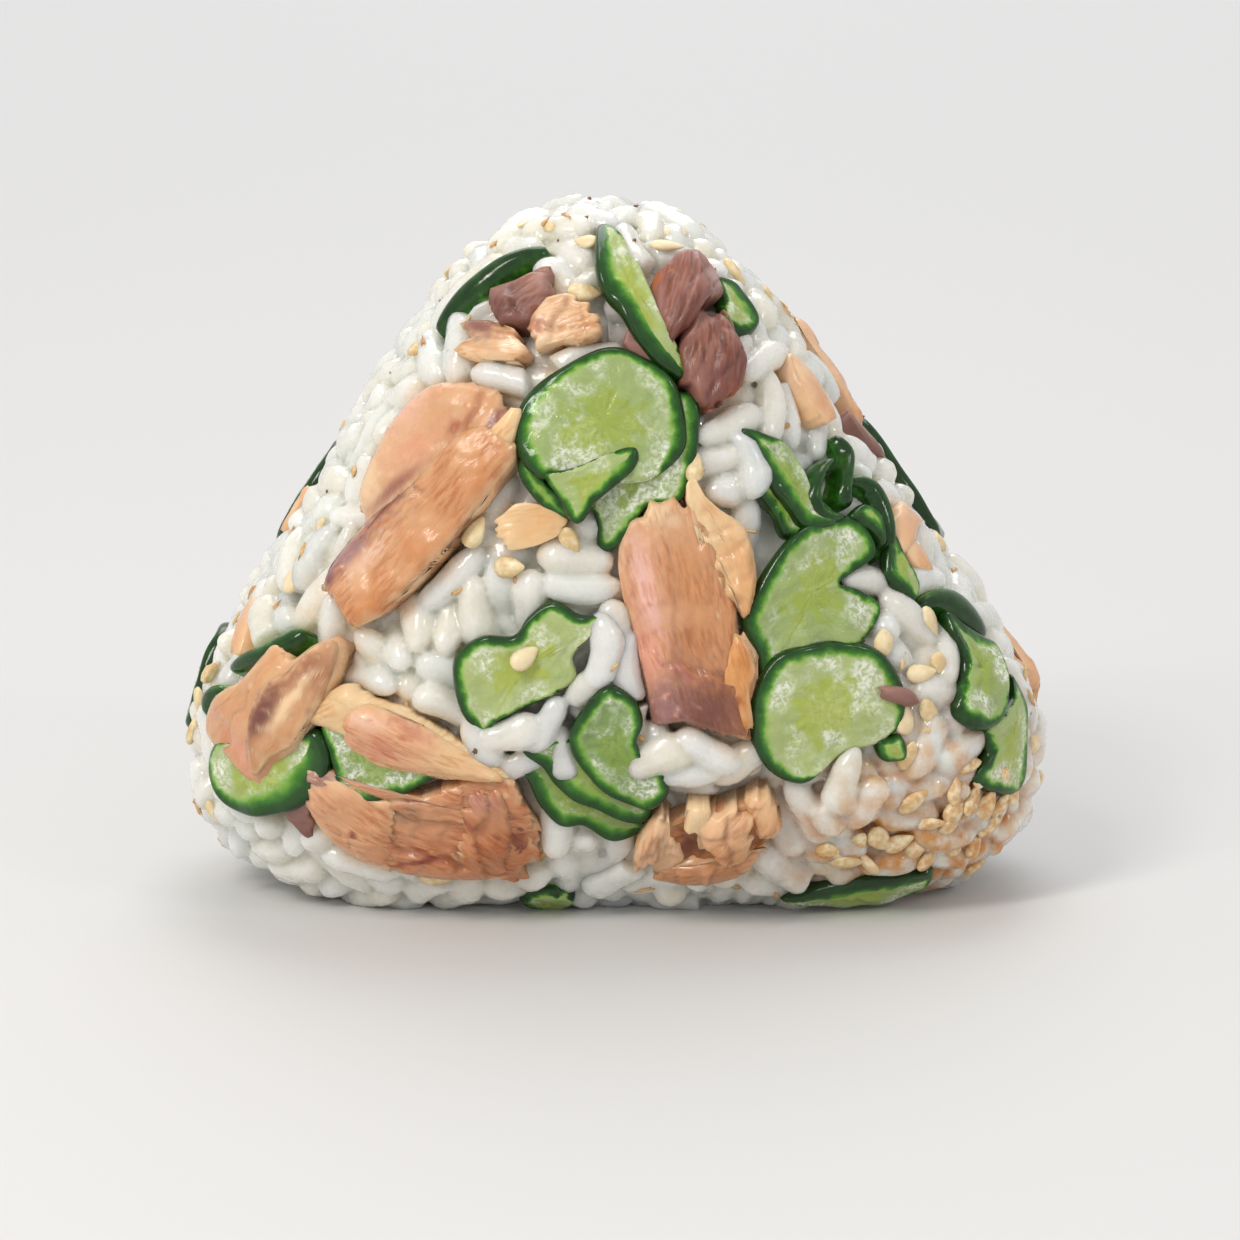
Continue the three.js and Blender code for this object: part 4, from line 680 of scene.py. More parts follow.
SLICE_SEGMENTS, SLICE_RINGS = 96, 34
TOP_SHARE = 0.38  # how much of the way from the top to the underside is the flat face
RIM_CROWDING = 1.9  # how much closer together the rings lie toward the rim
RIM_ROUNDING = 0.5
RIND_WIDTH = 1.3
FLESH_SUNK, SUNK_OVER = 0.08, 1.2  # how deep the flesh has sunk, and how far in from the rind it gets there
WRINKLES, FINE_WRINKLES, SWAY = 0.09, 0.05, 0.12  # how high the flesh wrinkles, and the whole slice sways


def slice_piece(topping):
    """A thin slice: flesh a little sunk inside a rounded rim, and waved as the slice is."""
    made = primitive(bpy.ops.mesh.primitive_uv_sphere_add, topping["name"],
                     segments=SLICE_SEGMENTS, ring_count=SLICE_RINGS, radius=1)
    ball = points_of(made.data)
    turn = np.arctan2(ball[:, 1], ball[:, 0]) / (2 * math.pi)
    fall = np.arccos(np.clip(ball[:, 2], -1, 1)) / math.pi  # 0 at the top, and 1 underneath
    edge = rim(topping["outline"], turn)
    reach = np.linalg.norm(edge, axis=1)
    to_rim = 1 - (1 - np.clip(np.minimum(fall, 1 - fall) / TOP_SHARE, 0, 1)) ** RIM_CROWDING
    bend = np.clip((fall - TOP_SHARE) / (1 - 2 * TOP_SHARE), 0, 1) * math.pi
    out = to_rim * (reach - RIM_ROUNDING) + RIM_ROUNDING * np.sin(bend)
    half = SLICE_THICKNESS / 2
    z = half * np.cos(bend)
    x, y = edge[:, 0] * out / reach, edge[:, 1] * out / reach
    loop = rim(topping["outline"], CURVE_SHARES)
    rim_gap, nearest = nearest_on(loop, x, y)
    rind = np.maximum(0, rim(topping.get("rind", [RIND_WIDTH]), CURVE_SHARES))[nearest]
    share = out / reach
    z += topping.get("wave", 0.25) * share ** 2 * np.sin(2 * np.arctan2(y, x) + x)
    spread = np.stack([x, y], axis=1)
    seed = seed_of(topping, 31)
    is_top = fall < 0.5
    sunk = np.clip((rim_gap - 0.5 * rind) / SUNK_OVER, 0, 1)
    wrinkles = WRINKLES * waves(spread, 1.6, seed) + FINE_WRINKLES * waves(spread, 0.8, seed + 1)
    z += np.where(is_top, -FLESH_SUNK * sunk * (3 - 2 * sunk) * sunk + wrinkles * sunk, 0)
    z += SWAY * waves(spread, 5, seed + 2) * share
    place_points(made.data, layer(topping)(x, y, z))
    # deep paints the flesh darker, as shade that falls on the slice
    keep_values(made.data, rim_gap=rim_gap, rind_width=rind, inner_share=1 - share,
                frosty=topping.get("frosty", 0.4), deep=topping.get("deep", 0.3))
    keep_map(made.data, "Slice", x, y)
    return made


# ---- fish, and cucumber standing on edge ----

FIBRE_ROWS, FIBRE_STEPS = 0.16, 0.36  # between grid lines, across the fibres and along them
BUNDLE, FIBRE, FLAKE = 1.5, 0.5, 3.6  # how wide bundles and fibres are, and how long layers are
BUNDLE_HEIGHT, FIBRE_HEIGHT = 0.16, 0.07
SWELL_HEIGHT, DIMPLE_HEIGHT = 0.18, 0.035  # of a flake where it hasn't split
TEARS = ((0.4, 3), (0.2, 1.1), (0.1, 0.5))  # of torn ends: how deep, and how wide
FOOT_WIDTH = 0.3  # of the painted shade in the crease below a step
LOWEST, HIGHEST = -0.6, 0.8  # of a flake, from the surface and from its crown
HEM_SHARE = 0.88  # how narrow a flake's foot is, sunk in the rice
SHOULDER_ROUNDING = 2.2  # power: 2 is round, and more is squarer
EDGE_TINT, EDGE_TINT_SHARE = "#f0cfa4", 0.55  # fish edges are thin, so they are pale
SPLIT_SHADE_SHARE, CREASE_SHADE_SHARE, STAIN_SHARE = 0.3, 0.7, 0.95  # how strongly each colours the fish: painted shade in splits, painted shade in creases, and stains
BAND_SEGMENTS, BAND_STEP = 18, 0.25  # faces round a band, and their length along it
BAND_SUNK = 0.8  # how far below the surface the round of a band ends


def edges_of_rows(loop, rows):
    """Where each row across a closed loop begins and ends."""
    ends = []
    for v in rows:
        after = np.roll(loop, -1, axis=0)
        crosses = (loop[:, 1] > v) != (after[:, 1] > v)
        a, b = loop[crosses], after[crosses]
        u = a[:, 0] + (v - a[:, 1]) * (b[:, 0] - a[:, 0]) / (b[:, 1] - a[:, 1])
        ends.append((u.min(), u.max()))
    return np.array(ends)


def bent_grid(name, columns, rows):
    """A flat grid, with each vertex's place along and across as a share, and whether it is on its hem."""
    made = primitive(bpy.ops.mesh.primitive_grid_add, name,
                     x_subdivisions=columns, y_subdivisions=rows, size=2)
    flat = points_of(made.data)
    i = np.rint((flat[:, 0] + 1) / 2 * columns)
    j = np.rint((flat[:, 1] + 1) / 2 * rows)
    hem = (i == 0) | (j == 0) | (i == columns) | (j == rows)
    along = np.clip((i - 1) / (columns - 2), 0, 1)
    across = np.clip((j - 1) / (rows - 2), 0, 1)
    return made, along, across, hem


def beyond(x, y, line):
    """How far points lie to the left of a line, which is given by a point and a heading in degrees."""
    tilt = math.radians(line[2])
    return (y - line[1]) * math.cos(tilt) - (x - line[0]) * math.sin(tilt)


def seed_of(topping, step):
    """A seed for a piece's unevenness, from its name and its place."""
    return len(topping["name"]) * step + int(abs(topping["at"][1]) * 10)


def eased(share):
    """A share from 0 to 1 that starts and ends slowly."""
    share = np.clip(share, 0, 1)
    return share * share * (3 - 2 * share)


def torn_ends(loop, rows, fray, seed):
    """Where each row across a flake begins and ends, with its ends torn."""
    ends = edges_of_rows(loop, rows)
    ragged = np.stack([rows, np.zeros(len(rows))], axis=1)
    taper = fray * np.clip((ends[:, 1] - ends[:, 0]) / 4, 0, 1)
    for side, sign in ((0, -1), (1, 1)):
        tear = sum(depth * waves(ragged, size, seed + 3 * side + k) for k, (depth, size) in enumerate(TEARS))
        ends[:, side] += sign * taper * (tear - 0.2)
    return ends


def strands(spread, inner, fibrous, flaky, seed):
    """How high strands and layers stand, at points along and across the fibres, and how far they split."""
    u, v = spread.T
    stretched = np.stack([u / 4, v], axis=1)
    bundles = v / BUNDLE + 0.45 * waves(stretched, 4, seed + 10) + 0.04 * u
    bundle_ridge = 1 - np.abs(2 * (bundles % 1) - 1) ** 2.5
    fibres = v / FIBRE + 0.5 * waves(stretched, 2, seed + 11)
    fibre_ridge = 1 - (2 * (fibres % 1) - 1) ** 2
    layers = u / FLAKE + 0.25 * v + 0.5 * waves(stretched, 5, seed + 12)
    ridges = BUNDLE_HEIGHT * (bundle_ridge - 0.7) + FIBRE_HEIGHT * (fibre_ridge - 0.5)
    swells = SWELL_HEIGHT * waves(spread, 6, seed + 13) + DIMPLE_HEIGHT * waves(spread, 1.6, seed + 16)
    heights = inner * fibrous * ridges, inner * flaky * (0.5 - (layers % 1) ** 1.5), inner * swells
    return heights, fibrous * (1 - bundle_ridge)


def folded(topping, x, y, z, spread, inner, seed):
    """Heights with a flake's steps, facets and pits, and how much shade is painted into the crease that each
    of those leaves.
    """
    painted_crease_shade = np.zeros(len(x))
    for *line, rise, softness in topping.get("steps", []):
        past = beyond(x, y, line) + 0.25 * waves(spread, 3, seed + 14)
        z = z + inner * rise * (eased(past / softness + 0.5) - 0.5)
        foot = past + np.sign(rise) * softness * 0.4
        painted_crease_shade = np.maximum(painted_crease_shade, inner * np.exp(-(foot / FOOT_WIDTH) ** 2) * min(1, abs(rise)))
    for *line, slope in topping.get("facets", []):
        z = z - slope * np.maximum(0, beyond(x, y, line))
    for pit_x, pit_y, reach, depth in topping.get("pits", []):
        far = ((x - pit_x) ** 2 + (y - pit_y) ** 2) / reach ** 2
        near = np.exp(-far * (1 + 0.4 * waves(spread, 1, seed + 17)))
        z = z - depth * near
        painted_crease_shade = np.maximum(painted_crease_shade, near ** 2)
    return z, painted_crease_shade


def chunk_piece(topping):
    """A lump of flaked fish: a smooth thick flake, split into strands in places, with folds and steps."""
    grain = math.radians(topping.get("grain", 0))
    turned_back = np.array([[math.cos(grain), -math.sin(grain)], [math.sin(grain), math.cos(grain)]])
    loop = rim(topping["outline"], CURVE_SHARES)
    loop += topping.get("crisp", 0) * (straight(topping["outline"], CURVE_SHARES) - loop)
    loop = loop @ turned_back
    low, high = loop.min(axis=0), loop.max(axis=0)
    columns, rows = (np.maximum(12, (high - low) / (FIBRE_STEPS, FIBRE_ROWS)) + 2).astype(int)
    made, along, across, hem = bent_grid(topping["name"], int(columns), int(rows))
    seed = seed_of(topping, 17)

    levels, row_of = np.unique(across, return_inverse=True)
    crowded = 0.5 * levels + 0.25 * (1 - np.cos(levels * math.pi))
    lines = low[1] + 0.02 + (high[1] - low[1] - 0.04) * crowded
    ends = torn_ends(loop, lines, topping.get("fray", 1), seed)
    v = lines[row_of]
    u = ends[row_of, 0] + (ends[row_of, 1] - ends[row_of, 0]) * along

    x, y = (np.stack([u, v], axis=1) @ turned_back.T).T
    crown = topping["crown"]
    gap, _ = nearest_on(loop, u, v)
    gap = np.minimum(gap, np.minimum(u - ends[row_of, 0], ends[row_of, 1] - u) + 0.3)
    half_width = (high[1] - low[1]) / 2
    shoulder = 1 - np.clip(gap / min(topping.get("shoulder", 1.4), 0.7 * half_width), 0, 1)
    z = crown * np.sqrt(np.maximum(0, 1 - shoulder ** SHOULDER_ROUNDING))
    inner = np.clip(gap, 0, 1)
    spread = np.stack([u, v], axis=1)
    fibrous = topping.get("fibrous", 0.3) * np.clip(0.6 + 0.8 * waves(spread, 5, seed + 15), 0.1, 1)
    heights, split = strands(spread, inner, fibrous, topping.get("flaky", 0.1), seed)
    for height in heights:
        z += height
    z, painted_crease_shade = folded(topping, x, y, z, spread, inner, seed)
    z = np.clip(z, LOWEST, crown + HIGHEST)
    z[hem] = -KEEL
    middle = (low + high) / 2
    shrink = np.where(hem, HEM_SHARE, 1)[:, None]
    placed = (middle + (spread - middle) * shrink) @ turned_back.T
    place_points(made.data, layer(topping)(placed[:, 0], placed[:, 1], z))
    keep_map(made.data, "Fibres", u, v)
    keep_values(made.data, fibrous=fibrous, tint=fish_tints(topping, x, y, spread, split, painted_crease_shade, gap, seed))
    close_below(made)
    return made


def mixed(first, second, share):
    """Colours between two, each an array of them or the code of one, at shares of the way."""
    first, second = (np.array([colour(end)]) if isinstance(end, str) else end for end in (first, second))
    share = np.clip(share, 0, 1)[:, None]
    return first * (1 - share) + second * share


def fish_tints(topping, x, y, spread, split, painted_crease_shade, gap, seed):
    """The colour of each point of a fish piece: two tones that run into each other, painted shade in its
    splits and in the crease below each step, and its stain colours, a few of them painted highlights.
    """
    is_dark = "dark" in topping["name"]
    pale, deep, groove, toward = topping.get("tones") or TONES["dark" if is_dark else "fish"]
    way = math.radians(toward)
    reach = np.abs(np.asarray(topping["outline"], float)).max()
    lean = 0.5 + 0.5 * (x * math.cos(way) + y * math.sin(way)) / reach
    tint = mixed(pale, deep, lean + 0.16 * waves(spread, 5, seed + 20) + 0.06 * waves(spread, 1.5, seed + 21))
    # painted shade: the groove colour darkens the splits between bundles and the creases below steps
    tint = mixed(tint, groove, SPLIT_SHADE_SHARE * split + CREASE_SHADE_SHARE * painted_crease_shade)
    if not is_dark:
        thin = np.clip(1.1 - gap / (0.5 + 0.25 * waves(spread, 2, seed + 22)), 0, 1)
        tint = mixed(tint, EDGE_TINT, EDGE_TINT_SHARE * thin)
    # stains, some of them pale streaks painted as highlights
    for spot_x, spot_y, long_reach, wide_reach, turn, code in topping.get("stains_and_glints", []):
        tilt = math.radians(turn)
        dx, dy = x - spot_x, y - spot_y
        along = dx * math.cos(tilt) + dy * math.sin(tilt)
        across = dy * math.cos(tilt) - dx * math.sin(tilt)
        far = (along / long_reach) ** 2 + (across / wide_reach) ** 2
        uneven = 1 + 0.45 * waves(spread, 1.4, seed + 30) + 0.25 * waves(spread, 0.6, seed + 31)
        tint = mixed(tint, code, STAIN_SHARE / (1 + (far * np.maximum(0.2, uneven)) ** 1.8))
    return tint


def band_piece(topping):
    """A slice that stands on edge in the rice, so that its rind shows as a rounded band."""
    path = np.array(topping["path"], float)
    lengths = np.r_[0, np.cumsum(np.linalg.norm(np.diff(path, axis=0), axis=1))]
    length = lengths[-1]
    made, along, across, hem = bent_grid(topping["name"], int(length / BAND_STEP), BAND_SEGMENTS)
    fine = np.linspace(0, 1, 80)
    padded_path = np.vstack([2 * path[0] - path[1], path, 2 * path[-1] - path[-2]])
    place = fine * (len(path) - 1)
    first = np.minimum(place.astype(int), len(path) - 2)
    t = (place - first)[:, None]
    smooth = curve(*(padded_path[first + k] for k in range(4)), t)
    centre = np.stack([np.interp(along, fine, smooth[:, k]) for k in (0, 1)], axis=1)
    heading = np.gradient(smooth, axis=0)
    heading /= np.linalg.norm(heading, axis=1, keepdims=True)
    heading = np.stack([np.interp(along, fine, heading[:, k]) for k in (0, 1)], axis=1)
    taper = 0.3 + 0.7 * np.sqrt(np.sin(math.pi * np.clip(along, 0.001, 0.999)))
    arc = (across - 0.5) * math.pi
    side = np.sin(arc) * topping["width"] / 2 * taper
    z = (topping["crown"] + BAND_SUNK) * taper * np.cos(arc) - BAND_SUNK
    z[hem] = -KEEL
    x = centre[:, 0] - heading[:, 1] * side
    y = centre[:, 1] + heading[:, 0] * side
    place_points(made.data, layer(topping)(x, y, z))
    keep_values(made.data, rim_gap=np.abs(across - 0.35) * topping["width"],
                rind_width=0.55 * topping["width"], inner_share=0, frosty=0, deep=0)
    keep_map(made.data, "Slice", x, y)
    close_below(made)
    return made


# ---- materials ----

NOISE, MATHS, MIX, RANGE = "ShaderNodeTexNoise", "ShaderNodeMath", "ShaderNodeMix", "ShaderNodeMapRange"
READ, MAPPING, BUMP = "ShaderNodeAttribute", "ShaderNodeMapping", "ShaderNodeBump"


def add_node(tree, kind, *inputs, **settings):
    """Adds a node. Inputs come in order, or by name with a capital; lower-case names are its settings.

    An input is a number, an sRGB colour, a socket, or a node, which stands for its first output.
    """
    made = tree.nodes.new(kind)
    for number, (place, code) in enumerate(settings.pop("stops", ())):
        elements = made.color_ramp.elements
        element = elements[number] if number < 2 else elements.new(place)
        element.position, element.color = place, colour(code)
    for name, value in settings.items():
        if name[0].islower():
            setattr(made, name, value)
    given = list(zip([socket for socket in made.inputs if socket.enabled], inputs))
    given += [(made.inputs[name.replace("_", " ")], value)
              for name, value in settings.items() if name[0].isupper()]
    for socket, value in given:
        if isinstance(value, bpy.types.Node):
            value = next(output for output in value.outputs if output.enabled)
        if isinstance(value, bpy.types.NodeSocket):
            tree.links.new(value, socket)
        elif value is not None:
            socket.default_value = colour(value) if isinstance(value, str) else value
    return made


def new_material(name):
    """An empty material, and its object's coordinates in millimetres."""
    made = bpy.data.materials.new(name)
    made.use_nodes = True
    tree = made.node_tree
    tree.nodes.clear()
    metres = add_node(tree, "ShaderNodeTexCoord").outputs["Object"]
    return made, tree, add_node(tree, MAPPING, metres, Scale=(1 / MM, 1 / MM, 1 / MM))


def cooked_rice():
    """Steamed short-grain rice, pressed by hand: milky and half clear, with a wet broken gloss."""
    made, tree, place = new_material("cooked_rice")
    clouds = add_node(tree, NOISE, place, Scale=1 / 1.5, Detail=3)  # milky hearts, 1.5 mm
    milky = add_node(tree, RANGE, clouds, 0.45, 0.7, 0, 0.5)
    grain_tint = add_node(tree, READ, attribute_name="tint").outputs["Color"]
    tint = add_node(tree, MIX, milky, grain_tint, "#efeee6", data_type="RGBA")
    # starch wrinkles are under 0.1 mm: drawn 0.4 mm across, so that they show
    wrinkles = add_node(tree, NOISE, place, Scale=1 / 0.4, Detail=3, Distortion=0.3)
    dents = add_node(tree, NOISE, place, Scale=1 / 1.1, Detail=1)  # dents where grains were pressed, 1.1 mm
    deeper = add_node(tree, MATHS, dents, 1.2, operation="MULTIPLY")
    height = add_node(tree, MATHS, wrinkles, deeper, operation="ADD")
    wet = add_node(tree, NOISE, place, Scale=1 / 0.8, Detail=2)  # wet patches, 0.8 mm
    shader = add_node(
        tree, "ShaderNodeBsdfPrincipled", Base_Color=tint,
        Roughness=add_node(tree, RANGE, wet, 0.35, 0.65, 0.12, 0.4),
        Normal=add_node(tree, BUMP, Height=height, Distance=0.08 * MM, Strength=0.7), IOR=1.45,
        Subsurface_Weight=0.9, Subsurface_Radius=(1.0, 0.96, 0.84), Subsurface_Scale=4.5 * MM,
        Coat_Weight=0.9, Coat_Roughness=0.08, Coat_IOR=1.45)
    add_node(tree, "ShaderNodeOutputMaterial", shader)
    return made


def salted_cucumber():
    """Thin salted cucumber: dark waxy rind, and wet flesh, frosted in patches and clear round the seeds."""
    made, tree, place = new_material("salted_cucumber")
    uneven = add_node(tree, NOISE, place, Scale=1 / 1.3, Detail=3)  # wavering of the rind, 1.3 mm
    waver = add_node(tree, RANGE, uneven, 0.3, 0.7, -0.22, 0.22)
    rim_gap, rind_width, inner_share, frosty, deep = (
        add_node(tree, READ, attribute_name=kept).outputs["Fac"]
        for kept in ("rim_gap", "rind_width", "inner_share", "frosty", "deep"))
    gap = add_node(tree, MATHS, rim_gap, waver, operation="ADD")
    width = add_node(tree, MATHS, rind_width, 0.02, operation="MAXIMUM")
    depth = add_node(tree, MATHS, gap, width, operation="DIVIDE")
    skin = add_node(
        tree, "ShaderNodeValToRGB", add_node(tree, MATHS, depth, 0.5, operation="MULTIPLY"),
        stops=((0, "#16380f"), (0.24, "#215016"), (0.36, "#39781f"), (0.49, "#7aac3a"), (0.66, "#a5c765")))
    patches = add_node(tree, NOISE, place, Scale=1 / 3.4, Detail=1)  # frosted patches, 3.4 mm
    # cut cells are 0.1 mm: drawn 0.45 mm across, so that they show
    cells = add_node(tree, NOISE, place, Scale=1 / 0.45, Detail=4, Distortion=0.6)
    more = add_node(tree, RANGE, frosty, 0, 1, -0.2, 0.16)
    patchy = add_node(tree, RANGE, add_node(tree, MATHS, patches, more, operation="ADD"), 0.38, 0.6, 0, 0.9)
    grainy = add_node(tree, RANGE, cells, 0.42, 0.6, 0.2, 1)
    frost = add_node(tree, MATHS, patchy, grainy, operation="MULTIPLY")
    heart = add_node(tree, MATHS, inner_share, waver, operation="ADD")
    centre = add_node(tree, RANGE, heart, 0.45, 0.72, interpolation_type="SMOOTHSTEP")
    # deep darkens the flesh: painted shade on slices that lie in shade
    firm = add_node(tree, MIX, deep, "#aebd7c", "#7d9a5a", data_type="RGBA")
    seedy = add_node(tree, MIX, deep, "#abb857", "#7f9c48", data_type="RGBA")
    flesh = add_node(tree, MIX, frost, firm, "#eff1e6", data_type="RGBA")
    faint = add_node(tree, MATHS, frost, 0.3, operation="MULTIPLY")
    clear = add_node(tree, MIX, faint, seedy, "#d3dbac", data_type="RGBA")
    inside = add_node(tree, MIX, centre, flesh, clear, data_type="RGBA")
    is_flesh = add_node(tree, RANGE, depth, 0.82, 1.4, interpolation_type="SMOOTHSTEP")
    tint = add_node(tree, MIX, is_flesh, skin, inside, data_type="RGBA")
    frosted = add_node(tree, MATHS, frost, is_flesh, operation="MULTIPLY")
    rough = add_node(tree, RANGE, frosted, 0, 0.6, 0.12, 0.42)
    cut = add_node(tree, RANGE, is_flesh, 0, 1, 0.12, 0.8)
    relief = add_node(tree, MATHS, cells, cut, operation="MULTIPLY")
    shader = add_node(
        tree, "ShaderNodeBsdfPrincipled", Base_Color=tint, Roughness=rough, IOR=1.45,
        Normal=add_node(tree, BUMP, Height=relief, Distance=0.16 * MM, Strength=0.9),
        Subsurface_Weight=0.4, Subsurface_Radius=(0.8, 1.0, 0.4), Subsurface_Scale=1.2 * MM)
    add_node(tree, "ShaderNodeOutputMaterial", shader)
    return made


def grilled_fish(name, driest, oily):
    """Flaked cooked fish: smooth moist flakes, a little oily, with fine strands where they have split."""
    made, tree, place = new_material(name)
    along = add_node(tree, MAPPING, add_node(tree, "ShaderNodeUVMap", uv_map="Fibres"), Scale=(0.18, 1, 1))
    # muscle strands are 0.1 mm: drawn 0.35 mm across, so that they show
    strands = add_node(tree, NOISE, along, Scale=1 / 0.35, Detail=3, Distortion=0.2)
    fibrous = add_node(tree, READ, attribute_name="fibrous").outputs["Fac"]
    tint = add_node(tree, READ, attribute_name="tint").outputs["Color"]
    # the grooves between strands are painted darker, as shade in them
    between = add_node(tree, MATHS, add_node(tree, RANGE, strands, 0.55, 0.38), fibrous, operation="MULTIPLY")
    shaded = add_node(tree, MIX, 1.0, tint, "#e6c4a8", data_type="RGBA", blend_type="MULTIPLY")
    shown = add_node(tree, MIX, between, tint, shaded, data_type="RGBA")
    # skin wrinkles under 0.2 mm: drawn 0.6 mm across, so that they show
    wrinkles = add_node(tree, NOISE, along, Scale=1 / 0.6, Detail=4, Distortion=0.5)
    split = add_node(tree, RANGE, fibrous, 0, 1, 0.15, 1.3)
    lines = add_node(tree, MATHS, strands, split, operation="MULTIPLY")
    height = add_node(tree, MATHS, lines, wrinkles, operation="ADD")
    relief = add_node(tree, BUMP, Height=height, Distance=0.11 * MM, Strength=0.85)
    wet = add_node(tree, NOISE, place, Scale=1 / 1.3, Detail=2)  # oily patches, 1.3 mm
    shader = add_node(
        tree, "ShaderNodeBsdfPrincipled", Base_Color=shown, IOR=1.42,
        Roughness=add_node(tree, RANGE, wet, 0.35, 0.65, driest - 0.2, driest),
        Normal=relief, Subsurface_Weight=0.3, Subsurface_Radius=(1.0, 0.6, 0.4), Subsurface_Scale=1.4 * MM,
        Coat_Weight=oily, Coat_Roughness=0.13, Coat_IOR=1.42, Coat_Normal=relief)
    add_node(tree, "ShaderNodeOutputMaterial", shader)
    return made


def toasted_sesame():
    """Hulled white sesame, lightly toasted: smooth, dry, cream to tan."""
    made, tree, place = new_material("toasted_sesame")
    toast = add_node(tree, NOISE, place, Scale=1 / 0.8, Detail=2)  # toasted spots, 0.8 mm
    seed_tint = add_node(tree, READ, attribute_name="tint").outputs["Color"]
    tint = add_node(tree, MIX, add_node(tree, RANGE, toast, 0.4, 0.7), seed_tint, "#f3e4c0", data_type="RGBA")
    pits = add_node(tree, NOISE, place, Scale=1 / 0.25, Detail=2)  # hull pits, 0.25 mm
    shader = add_node(
        tree, "ShaderNodeBsdfPrincipled", Base_Color=tint, Roughness=0.34, IOR=1.45,
        Normal=add_node(tree, BUMP, Height=pits, Distance=0.03 * MM, Strength=0.5),
        Subsurface_Weight=0.25, Subsurface_Radius=(1.0, 0.8, 0.5), Subsurface_Scale=0.7 * MM)
    add_node(tree, "ShaderNodeOutputMaterial", shader)
    return made


def painted_floor():
    """A matt painted board."""
    made, tree, place = new_material("painted_floor")
    roller = add_node(tree, NOISE, place, Scale=1 / 3, Detail=2)  # roller marks, 3 mm
    shader = add_node(
        tree, "ShaderNodeBsdfPrincipled", Base_Color="#d6d6d6", Roughness=0.7,
        Normal=add_node(tree, BUMP, Height=roller, Distance=0.02 * MM, Strength=0.3))
    add_node(tree, "ShaderNodeOutputMaterial", shader)
    return made


RICE, CUCUMBER, SESAME = cooked_rice(), salted_cucumber(), toasted_sesame()
FISH, DARK_MEAT = grilled_fish("grilled_fish", 0.42, 0.5), grilled_fish("dark_fish_meat", 0.5, 0.12)
TONES = {  # pale tone, deep tone, colour of the grooves that paints shade into splits and creases, and the way from pale to deep in degrees
    "fish": ("#efc6a2", "#dc9f6c", "#a9643a", 300),
    "dark": ("#a17a70", "#7f544a", "#4d2c27", 270),
}

# ---- rice, packed under the ball's surface and round the toppings ----

GRAINS, GRAINS_BELOW = 1000, 640
BELOW = 1.8  # how much deeper the lower layer lies
GRAIN_HALF_LENGTH = (3.3, 4.4)
GRAIN_RADIUS = (1.5, 1.85)
STAND_OUT = (-0.3, 0.6)  # how far grains reach out of the ball's surface
SETTLE_OUT = 0.12  # how fast grains move out to the surface, for each step
SQUASH = 0.95  # share of two radii at which grains touch
BESIDE_TOPPING = 0.9  # share of its radius that a grain keeps clear of a topping
PACK_STEPS, STEPS_PER_SEARCH = 48, 8  # and how many steps use the same list of neighbours
PUSHED, PRESSED, TWISTED = 0.6, 0.9, 0.9  # how much of the way grains move and turn in each step
NEIGHBOUR_REACH, TOPPING_REACH = 5.0, 4.5  # how far away neighbours and toppings are looked for
START_DEPTH = (1.2, 3.4)  # of the grains' middles, before they settle
LEAST_ROOM = 1.4  # grains start no closer to a topping
END_ON, BROKEN = 0.04, 0.2  # share of the grains that stand out end on, and that are broken
TIPPED, LYING = 1.6, 0.15  # how steep those that stand and those that lie are
BENT, TAPERED, PLUMP = 0.45, 0.14, 0.08  # how unlike each other grains are
GRAIN_BLUNTNESS = 3.4  # power: 2 is an ellipse, and more has blunter ends
WAISTED, DENTED = 0.07, 0.09  # how deep, as shares of a grain's width
CORE_DEPTH, CORE_UNEVEN = 2.8, 0.35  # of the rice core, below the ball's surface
CORE_FOOT = 1.15  # less 1, the share of that depth which is left underneath the ball
QUARTERS_SHARE = 0.2  # how far each quarter of the rice reaches past the middle
RICE_SKIN = {-1: 0.25, 1: 0.3}  # face size of the front, and of the back, before it is thinned out
RICE_FACES = {-1: 190000, 1: 160000}
PAINTED_LIGHT_BETWEEN_GRAINS, BETWEEN_REACH = "#dedfd8", 0.6  # the colour past a grain, in the rice between grains, painted a little lighter as light that passes through the rice into the gaps; reached at such a distance
# painted shade: the grey that darkens the creases between grains, and how strongly
PAINTED_CREASE_SHADE, PAINTED_CREASE_SHADE_SHARE = "#c0c2bb", 0.65
CREASE = 0.05  # how hollow a full crease is
FILL_GAP, FILL_MARGIN = 1.1, 0.45  # between the points that keep rice out of a topping, and inside its edge
FILL_DEPTH = -1.4  # of the lower of them
GREASE, GREASE_SHARE = "#e4b98a", 0.32  # rice that touches fish
GREASE_REACH, GREASE_WAVER, GREASE_FADE = 2.1, 0.9, 1.2  # how far from it, give or take, and how gradually
SAUCE_AND_BOUNCE_LIGHT = [  # where sauce has run into the rice, with warm light bounced up from below painted in as well: x, y, z, how far, its colour and how strong
    (34, -12, 9, 11, "#c07c28", 1), (26, -18, 7, 8, "#c4822e", 1), (27, -18, 16, 6, "#e2b078", 0.6),
    (-22, 15, 8, 8, "#d39a60", 0.6), (-27, -14, 31, 3, "#e2b988", 0.6), (-28, -16, 19, 3, "#e0b07c", 0.4),
]
